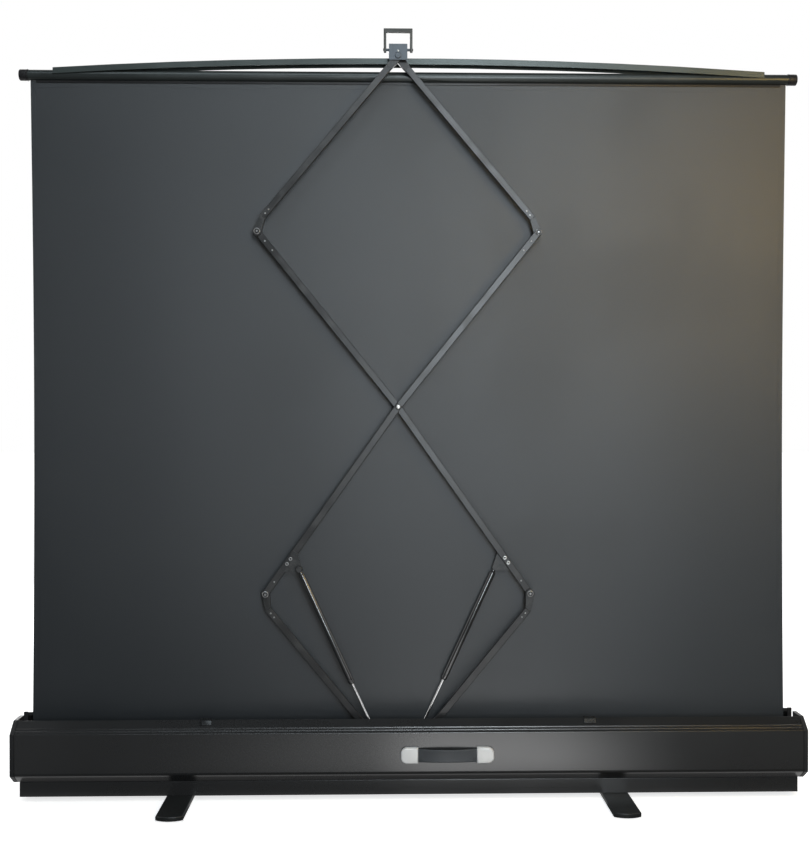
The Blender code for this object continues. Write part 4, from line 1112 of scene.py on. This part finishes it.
@dataclass
class ScissorTrim(Assembly):
    """Pivot rivets, tube rivets and bracket rivets of the scissor."""

    head: float = 0.0075
    shank: float = 0.004
    seat: float = 0.0003
    head_height: float = 0.002
    far_rim: float = 0.0010
    far_flat: float = 0.0060
    front_face: float = -0.018
    rear_face: float = 0.001
    layer_step: float = 0.010
    small: float = 0.0021
    proud: float = 0.0010
    flush: float = 0.0005
    bracket_plate: float = 0.0028
    bracket_ring: float = 0.0042
    bracket_along: Pair = (0.086, 0.100)
    long_upper: Pair = (0.027, 0.054)
    long_lower: tuple[float, ...] = (0.035,)
    tube_inset: Pair = (0.009, 0.021)
    pin_crease: float = 25.0

    def build(self) -> None:
        """Dress every pivot and arm."""
        plan = self.plan
        for side in Side:
            elbows = ((Arm.LOWER, plan.lower(side), side), (Arm.UPPER, plan.upper(side), side.other))
            for arm, at, carrier in elbows:
                name, pin = f"{arm.value}_elbow_rivet_{side}", f"{arm.value}_elbow_pin_{side}"
                self._pivot(name, at, f"long_{carrier}", pin, RINGED_HEAD)
            self._long_rivets(side)
            self._tube_rivets(Arm.LOWER, side)
            self._tube_rivets(Arm.UPPER, side)
        self._pivot("centre_rivet", plan.centre, "long_left", "centre_pin", BUTTON_HEAD)

    def _in_front(self, arm: Arm, side: Side) -> bool:
        """Whether an arm lies in the layer nearer the handle's side."""
        return (side is Side.RIGHT) == (arm is Arm.LOWER)

    def _face_of(self, arm: Arm, side: Side) -> Pair:
        """Y of an arm's face towards the handle's side, and how far a rivet may stand on it."""
        if self._in_front(arm, side):
            return self.front_face, self.proud
        return self.front_face + self.layer_step, self.flush

    def _pivot(self, name: str, at: Vector, body: str, node: str, head: PinHead) -> None:
        """Pivot rivet in place of a plain pin.

        Args:
            name: Name of the piece.
            at: Pivot.
            body: Body that carries the pin.
            node: Pin that it replaces.
            head: Its near head.
        """
        near, far = self.front_face - self.seat, self.rear_face + self.seat
        profile = [(radius, near - self.head_height + drop) for radius, drop in head.points]
        profile += [(self.head, near), (self.shank, near), (self.shank, far), (self.head, far)]
        crown = far + self.head_height
        profile += [(self.head, far + self.far_rim), (self.far_flat, crown), (0.0, crown)]
        shape = spun(profile, Toward.Y.at(Vector((at.x, 0.0, at.z))))
        for face in shape.faces:
            middle = face.calc_center_median()
            radius = math.hypot(middle.x - at.x, middle.z - at.z)
            bright = any(inner <= radius < outer for inner, outer in head.bright)
            face.material_index = int(bright and middle.y < near)
        self.bench.lay(name, shape, (LUG_DARK, head.finish), body, [node], self.pin_crease)

    def _arm_rivets(self, arm: Arm, side: Side, places: Iterable[Vector]) -> None:
        """Small rivet heads on an arm's face.

        Args:
            arm: Kind of the arm.
            side: Its side.
            places: Where they stand, in the scissor's plane.
        """
        face, proud = self._face_of(arm, side)
        heads = [Head.DOME.stand(Vector((p.x, face, p.z)), FRONT, self.small, proud) for p in places]
        name, body = f"{arm.value}_arm_rivets_{side}", f"{arm.value}_{side}"
        self.bench.lay(name, merged(heads), RIVET_GREY, body)

    def _long_rivets(self, side: Side) -> None:
        """Rivets on a long arm: by its ends and through its strut bracket.

        Args:
            side: Side of the arm's lower elbow.
        """
        foot, top, centre = self.plan.lower(side), self.plan.upper(side.other), self.plan.centre
        up, down = (centre - foot).normalized(), (centre - top).normalized()
        places = [foot + up * reach for reach in self.long_lower]
        places += [top + down * reach for reach in self.long_upper]
        self._arm_rivets(Arm.LONG, side, places)
        face, proud = self._face_of(Arm.LONG, side)
        rim = RIVET_BRIGHT
        if self._in_front(Arm.LONG, side):
            face -= self.bracket_plate
            rim = RIVET_GREY
        spots = [foot + up * reach for reach in self.bracket_along]
        rings = [Head.RING.stand(Vector((p.x, face, p.z)), FRONT, self.bracket_ring, proud) for p in spots]
        self.bench.lay(f"bracket_rivets_{side}", merged(rings), (rim, LUG_DARK), f"long_{side}")

    def _tube_rivets(self, arm: Arm, side: Side) -> None:
        """Rivets that hold a short arm's tube on the tang of its elbow lug.

        Args:
            arm: Kind of the arm; a lower one has its elbow at the upper end of its tube.
            side: Its side.
        """
        node = f"{arm.value}_arm_{side}"
        points = [v.co.copy() for v in bpy.data.objects[node].data.vertices]
        low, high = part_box(node)
        split = (low.z + high.z) / 2
        halves = ([p for p in points if p.z < split], [p for p in points if p.z >= split])
        start, end = (sum(half, Vector()) / len(half) for half in halves)
        if arm is Arm.LOWER:
            start, end = end, start
        along = (end - start).normalized()
        self._arm_rivets(arm, side, [start + along * reach for reach in self.tube_inset])


@dataclass
class StrutTrim(Assembly):
    """Gas struts: gloss barrel with rolled ends, knuckle, chrome rod and lower eye.

    The shoulder's points are (inset, along) from the upper pivot, and those of the rolled end from the
    barrel's lower end.
    """

    radius: float = 0.0075
    length: float = 0.288
    gland: float = 0.010
    rod_gap: float = 0.0003
    neck: Profile = ((0.0, 0.0055), (0.0040, 0.0055), (0.0046, 0.0120))
    shoulder: Profile = ((0.0012, 0.0135), (0.0003, 0.0142), (0.0, 0.0155))
    rolled_end: Profile = (
        (0.0, 0.0140), (0.0007, 0.0132), (0.0007, 0.0118), (0.0, 0.0110), (0.0, 0.0040), (0.0006, 0.0020),
        (0.0020, 0.0004), (0.0032, 0.0),
    )
    rod: float = 0.003
    rod_from: float = 0.248
    rod_lead: Pair = (0.0004, 0.0005)
    knuckle_half: float = 0.0071
    knuckle_bore: float = 0.0033
    knuckle_flat: float = 0.0066
    groove: Pair = (0.0012, 0.0008)
    groove_depth: float = 0.0004
    eye: float = 0.007
    eye_bore: float = 0.0030
    eye_cover: float = 0.8
    soft: float = 0.0008
    barrel_steps: int = 48
    small_steps: int = 36

    def build(self) -> None:
        """Make both struts."""
        for side in Side:
            self._strut(side)

    def _barrel(self) -> Profile:
        """Half section of the barrel.

        Returns:
            Its points, from the neck to the gland.
        """
        hole = self.rod + self.rod_gap
        upper = [(self.radius - inset, along) for inset, along in self.shoulder]
        lower = [(self.radius - inset, self.length - along) for inset, along in self.rolled_end]
        inside = self.length - self.gland
        return [*self.neck, *upper, *lower, (hole, self.length), (hole, inside), (0.0, inside)]

    def _strut(self, side: Side) -> None:
        """One strut from its upper pivot to the base pin.

        Args:
            side: Its side.
        """
        low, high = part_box(f"strut_cylinder_{side}")
        axis_y = (low.y + high.y) / 2
        top, base = self.plan.joints[f"strut_{side}_hinge"], self.plan.base
        head, foot = Vector((top.x, axis_y, top.z)), Vector((base.x, axis_y, base.z))
        place = Matrix.Translation(head) @ (foot - head).to_track_quat("Z", "Y").to_matrix().to_4x4()
        body, slider = f"strut_{side}", f"rod_{side}"

        barrel = spun(self._barrel(), place, self.barrel_steps)
        self.bench.lay(f"strut_barrel_{side}", barrel, STRUT_GLOSS, body, [f"strut_cylinder_{side}"])

        half, r = self.knuckle_half, self.radius
        outline = [(self.knuckle_bore, half), (self.knuckle_flat, half), (r, half - self.soft)]
        outline += [(r, self.groove[0]), (r - self.groove_depth, self.groove[1])]
        knuckle = spun(mirrored(outline), Toward.Y.at(head), self.small_steps)
        self.bench.lay(f"strut_knuckle_{side}", knuckle, END_MOULDING, body)

        end = (foot - head).length - self.eye * self.eye_cover
        start = self.rod_from
        inset, lead = self.rod_lead
        outline = [(0.0, start), (self.rod - inset, start), (self.rod, start + lead)]
        rod = spun([*outline, (self.rod, end), (0.0, end)], place, self.small_steps)
        self.bench.lay(f"chrome_rod_{side}", rod, CHROME, slider, [f"strut_rod_{side}"])

        low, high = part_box(f"strut_rod_{side}")
        half = min(axis_y - low.y, high.y - axis_y)
        outline = [(self.eye_bore, half), (self.eye - self.soft, half), (self.eye, half - self.soft)]
        eye = spun(mirrored(outline), Toward.Y.at(foot), self.small_steps)
        self.bench.lay(f"rod_eye_{side}", eye, LUG_DARK, slider)


@dataclass
class CrossbarTrim(Assembly):
    """Smooth crossbar tube with ringed end plugs, cloth clamp, pull loop and the rivets of both.

    The plug's points are (inset, along): on the flange and the groove from the plug's seat outwards, on
    its end from the outer face back.
    """

    wall: float = 0.0015
    tube_steps: int = 64
    plug_cover: float = 0.013
    plug_length: float = 0.0207
    plug_fit: float = 0.0003
    plug_lead: float = 0.001
    plug_rim: float = 0.0008
    plug_flange: Profile = ((0.0, 0.0), (0.0, 0.0018), (0.0006, 0.0024))
    plug_groove: Profile = ((0.0, 0.0024), (0.0006, 0.0028), (0.0006, 0.0036), (0.0, 0.0040))
    plug_end: Profile = (
        (0.0, 0.0022), (0.0006, 0.0009), (0.0020, 0.0001), (0.0030, 0.0), (0.0042, 0.0), (0.0046, 0.0006),
    )
    plug_dish: float = 0.0006
    plug_steps: int = 48
    clamp_half: float = 0.862
    clamp_gap: float = 0.0007
    clamp_thick: float = 0.0022
    clamp_drop: float = 0.0055
    clamp_touch: float = 0.0002
    clamp_edge: float = 0.0006
    block_rivet_rise: float = 0.0105
    block_rivet: float = 0.0026
    block_rivet_height: float = 0.0012
    stud: float = 0.0034
    stud_height: float = 0.0013
    stud_gap: float = 0.0002
    loop_bar: float = 0.009
    loop_leg: float = 0.006
    loop_edge: float = 0.0009
    loop_sharp: float = 1.0
    loop_crease: float = 40.0
    middle: Vector = field(init=False)
    half: float = field(init=False)
    radius: float = field(init=False)

    def __post_init__(self) -> None:
        """Read the middle, the half length and the radius of the tube."""
        low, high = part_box("top_tube")
        self.middle = (low + high) / 2
        self.half = high.x
        self.radius = (high.z - low.z) / 2

    def build(self) -> None:
        """Make the pieces on the crossbar."""
        half = self.half - self.plug_cover
        bore = self.radius - self.wall
        outline = [(self.radius, -half), (self.radius, half), (bore, half), (bore, -half)]
        tube = spun(outline, Toward.X.at(self.middle), self.tube_steps)
        self.bench.lay("crossbar_tube", tube, BAR_DARK, "crossbar", ["top_tube"])
        for side in Side:
            self._plug(side)
        self._clamp()
        self._rivets()

    def _plug(self, side: Side) -> None:
        """Moulded end plug with a flange ring and a groove.

        Args:
            side: Its side.
        """
        low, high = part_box(f"tube_cap_{side}")
        flange = (high.z - low.z) / 2
        rim = flange - self.plug_rim
        bore = self.radius - self.wall - self.plug_fit
        inner, outer = sorted(side.value * x for x in (low.x, high.x))
        inner -= self.plug_cover
        seat = outer - self.plug_length
        lead = self.plug_lead
        profile = [(0.0, inner), (bore - lead, inner), (bore, inner + lead), (bore, seat)]
        profile += [(flange - inset, seat + along) for inset, along in self.plug_flange]
        profile += [(rim - inset, seat + along) for inset, along in self.plug_groove]
        profile += [(rim - inset, outer - along) for inset, along in self.plug_end]
        profile += [(0.0, outer - self.plug_dish)]
        turned = [(radius, side.value * height) for radius, height in profile]
        at = Vector((0.0, self.middle.y, self.middle.z))
        shape = tidy(spun(turned, Toward.X.at(at), self.plug_steps))
        self.bench.lay(f"tube_plug_{side}", shape, END_MOULDING, "crossbar", [f"tube_cap_{side}"])

    def _clamp(self) -> None:
        """Two strips under the tube that grip the cloth between them."""
        strips = []
        under = self.middle.z - self.radius
        for way in (-1.0, 1.0):
            reaches = (self.clamp_gap, self.clamp_gap + self.clamp_thick)
            near, far = sorted(self.middle.y + way * reach for reach in reaches)
            low = Vector((-self.clamp_half, near, under - self.clamp_drop))
            high = Vector((self.clamp_half, far, under + self.clamp_touch))
            strips.append(block(low, high, self.clamp_edge, 2))
        self.bench.lay("cloth_clamp", merged(strips), END_MOULDING, "crossbar")

    def _rivets(self) -> None:
        """Bright rivet on the block, and the pull loop with the studs at its hinge."""
        at = Vector((self.plan.top.x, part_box("top_block")[0].y, self.plan.top.z + self.block_rivet_rise))
        bright = Head.DOME.stand(at, FRONT, self.block_rivet, self.block_rivet_height)
        self.bench.lay("block_rivet", bright, RIVET_BRIGHT, "crossbar")
        hinge = self.plan.joints["pull_loop_hinge"]
        low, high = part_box("pull_loop")
        self._loop(low, high)
        studs = []
        for side in Side:
            at = Vector((side.outer(low, high) + side.value * self.stud_gap, hinge.y, hinge.z))
            studs.append(Head.DOME.stand(at, ACROSS * side.value, self.stud, self.stud_height))
        self.bench.lay("loop_studs", merged(studs), LUG_DARK, "crossbar")

    def _loop(self, low: Vector, high: Vector) -> None:
        """Square pull loop: a bar with two legs drawn down from its ends.

        Args:
            low: Lowest corner of the loop's solid.
            high: Highest corner of the loop's solid.
        """
        bar_low = Vector((low.x, low.y, high.z - self.loop_bar))
        shape = cube(bar_low, high)
        cut(shape, ACROSS, (low.x + self.loop_leg, high.x - self.loop_leg))
        middle = (low.x + high.x) / 2
        reach = (high.x - low.x) / 2 - self.loop_leg
        under = [f for f in shape.faces if f.normal.z < -SQUARE]
        ends = [f for f in under if abs(f.calc_center_median().x - middle) > reach]
        drawn = bmesh.ops.extrude_discrete_faces(shape, faces=ends)["faces"]
        feet = [vert for face in drawn for vert in face.verts]
        bmesh.ops.translate(shape, vec=(0.0, 0.0, low.z - bar_low.z), verts=feet)
        tidy(shape)
        sharp = [edge for edge in shape.edges if edge.calc_face_angle(0.0) > self.loop_sharp]
        tidy(rounded(shape, sharp, self.loop_edge))
        self.bench.lay("pull_bail", shape, LOOP_DARK, "pull_loop", ["pull_loop"], self.loop_crease)


@dataclass
class CaseTrim(Assembly):
    """Moulded carry handle, and the screws of the end caps."""

    grip_edge: float = 0.0016
    grip_thick: float = 0.004
    grip_waist: float = 0.05
    grip_bow_share: float = 0.42
    grip_panel: float = 0.0028
    grip_crease: float = 40.0
    panel_drop: float = 0.0005
    panel_margin: float = 0.006
    grip_cuts: int = 31
    tail_hidden: float = 0.012
    corner_steps: int = 10
    cap_corner: float = 0.0135
    cap_round: float = 0.0034
    crown_steps: int = 5
    cap_crease: float = 45.0
    screw: float = 0.0042
    screw_height: float = 0.0014
    screw_places: Profile = ((-0.056, 0.146), (-0.056, 0.078), (0.058, 0.146), (0.056, 0.062))

    def build(self) -> None:
        """Make the handle and the screws."""
        self._grip()
        for side in Side:
            self._cap(side)
            self._screws(side)

    def _grip(self) -> None:
        """Bowed grip with rounded edges and a sunk panel on its face."""
        low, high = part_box("handle_grip")
        left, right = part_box("handle_cap_left")[1].x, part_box("handle_cap_right")[0].x
        middle, span = (left + right) / 2, right - left
        thick = self.grip_thick
        bow = (high.y - low.y - thick) * self.grip_bow_share
        reach = span / 2 + self.tail_hidden
        corner = Vector((reach, thick / 2, (high.z - low.z) / 2))
        shape = block(-corner, corner, self.grip_edge)
        shares = [(i + 1) / (self.grip_cuts + 1) for i in range(self.grip_cuts)]
        cut(shape, ACROSS, [-reach + 2 * reach * share for share in shares])
        face = [f for f in shape.faces if f.normal.y < -FLAT]
        panel = [f for f in face if abs(f.calc_center_median().x) < span / 2 - self.panel_margin]
        bmesh.ops.inset_region(
            shape, faces=panel, thickness=self.grip_panel, depth=-self.panel_drop, use_even_offset=True
        )
        for vert in shape.verts:
            share = max(-1.0, min(1.0, 2 * vert.co.x / span))
            swell = 1.0 - share * share
            vert.co.y -= bow * swell
            vert.co.z *= 1.0 - self.grip_waist * swell
        seat = Vector((middle, high.y - thick / 2, (low.z + high.z) / 2))
        bmesh.ops.translate(shape, vec=seat, verts=shape.verts)
        tidy(shape)
        self.bench.lay("handle_strap", shape, GRIP_RUBBER, "housing", ["handle_grip"], self.grip_crease)

    def _cap(self, side: Side) -> None:
        """Silver end of the handle with rounded corners and a soft crown.

        Args:
            side: Its side.
        """
        node = f"handle_cap_{side}"
        low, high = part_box(node)
        shape = cube(low, high)
        outer = side.outer(low, high)
        corners = []
        for edge in shape.edges:
            a, b = (v.co for v in edge.verts)
            if abs(a.y - b.y) > MERGE and abs(a.x - outer) < MERGE:
                corners.append(edge)
        rounded(shape, corners, self.cap_corner, self.corner_steps)
        crown = max(shape.faces, key=lambda f: -f.calc_center_median().y)
        tidy(rounded(shape, crown.edges, self.cap_round, self.crown_steps))
        self.bench.lay(f"handle_end_{side}", shape, SILVER_MOULDING, "housing", [node], self.cap_crease)

    def _screws(self, side: Side) -> None:
        """Socket screws that hold an end cap on the covers.

        Args:
            side: Its side.
        """
        face = side.outer(*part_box(f"end_cap_{side}"))
        places = [Vector((face, y, z)) for y, z in self.screw_places]
        toward = ACROSS * side.value
        heads = [Head.RING.stand(place, toward, self.screw, self.screw_height) for place in places]
        self.bench.lay(f"cap_screws_{side}", merged(heads), (LUG_DARK, END_MOULDING), "housing")


@dataclass(frozen=True)
class NodeLook:
    """Finish of nodes that stay showing, and the width of their broken edges.

    A pair of braces in a name stands for both sides.
    """

    finish: Finish
    names: tuple[str, ...]
    edge: float = 0.0

    def nodes(self) -> list[str]:
        """Names of the nodes, each once."""
        return list(dict.fromkeys(name.format(side) for name in self.names for side in Side))


NODE_LOOKS = (
    NodeLook(BLACK_PAINT, ("rear_cover", "front_cover"), 0.0012),
    NodeLook(BLACK_PAINT, ("rear_skirt", "front_skirt"), 0.0008),
    NodeLook(BLACK_PAINT, ("base_plate",)),
    NodeLook(FOOT_PAINT, ("foot_{}",), 0.0010),
    NodeLook(END_MOULDING, ("end_cap_{}",), 0.0012),
    NodeLook(END_MOULDING, ("roller_plug_{}",)),
    NodeLook(BOW_PAINTED_SHEEN, ("bow",), 0.0008),
    NodeLook(BLOCK_GREY, ("top_block",), 0.0010),
    NodeLook(BLOCK_GREY, ("top_pin",)),
    NodeLook(ARM_RISING, ("long_arm_left", "lower_arm_right", "upper_arm_left"), 0.0008),
    NodeLook(ARM_FALLING, ("long_arm_right", "lower_arm_left", "upper_arm_right"), 0.0008),
    NodeLook(LUG_DARK, ("base_bracket", "base_pin", "foot_bolt_{}", "strut_bracket_{}")),
    NodeLook(LUG_DARK, ("lower_root_{}", "lower_elbow_{}", "upper_elbow_{}", "upper_head_{}"), 0.0007),
    NodeLook(LUG_DARK, ("roller_tube", "roller_spring")),
    NodeLook(CLIP_DARK, ("rest_clip_{}",), 0.0005),
    NodeLook(FOOT_RUBBER, ("foot_pad_{}_front", "foot_pad_{}_rear")),
)


@dataclass
class NodeDresser:
    """Dresses the nodes that stay showing; their own meshes stay as imported."""

    nodes: dict[str, bpy.types.Object]
    shop: FinishShop
    weld: float = 5e-6
    near: float = 1e-5
    flat_angle: float = 0.5
    sharp_angle: float = 35.0
    edge_steps: int = 2
    rolled_edge: float = 0.006
    rolled_steps: int = 5

    def dress(self) -> None:
        """Give each node its finish and its broken edges."""
        for look in NODE_LOOKS:
            for name in look.nodes():
                mesh = self.nodes[name].data
                mesh.materials.clear()
                mesh.materials.append(self.shop.material(look.finish))
                if look.edge > 0.0:
                    self._soften(self.nodes[name], look.edge)
        self._roll_edge(self.nodes["rear_cover"])

    def _soften(self, node: bpy.types.Object, width: float) -> None:
        """Break a node's sharp edges so that they catch the light.

        Args:
            node: The node's object.
            width: Width of the broken edge.
        """
        weld = node.modifiers.new("weld", "WELD")
        weld.merge_threshold = self.weld
        flat = node.modifiers.new("flat_faces", "DECIMATE")
        flat.decimate_type = "DISSOLVE"
        flat.angle_limit = math.radians(self.flat_angle)
        edge = node.modifiers.new("broken_edges", "BEVEL")
        edge.width = width
        edge.segments = self.edge_steps
        edge.limit_method = "ANGLE"
        edge.angle_limit = math.radians(self.sharp_angle)
        edge.use_clamp_overlap = True
        edge.harden_normals = True

    def _roll_edge(self, cover: bpy.types.Object) -> None:
        """Round the edge where the rear cover's wall turns under, which is rolled more than the rest.

        Args:
            cover: The rear cover's node.
        """
        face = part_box(cover.name)[0].y
        wall = [v for v in cover.data.vertices if v.co.y < face + self.near]
        turn = min(v.co.z for v in wall)
        group = cover.vertex_groups.new(name="turned_under")
        group.add([v.index for v in wall if v.co.z < turn + self.near], 1.0, "REPLACE")
        edge = cover.modifiers.new("rolled_edge", "BEVEL")
        edge.width = self.rolled_edge
        edge.segments = self.rolled_steps
        edge.limit_method = "VGROUP"
        edge.vertex_group = group.name
        cover.modifiers.move(len(cover.modifiers) - 1, len(cover.modifiers) - 2)
        LOG.info("%s turns under at %.4f", cover.name, turn)


def main() -> None:
    """Build the stage and every piece, then log how many pieces were made."""
    logging.basicConfig(level=logging.INFO, format="%(name)s: %(message)s")
    for item in list(bpy.data.objects):
        bpy.data.objects.remove(item, do_unlink=True)
    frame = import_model()
    Stage().build()
    shop = FinishShop()
    bench = PieceBench(shop)
    plan = Plan.read(frame)
    NodeDresser(frame["nodes"], shop).dress()
    for assembly in (ScreenCloth, ScissorTrim, StrutTrim, CrossbarTrim, CaseTrim):
        assembly(bench, plan).build()
    LOG.info("%d pieces", bench.count)


if __name__ == "__main__":
    main()
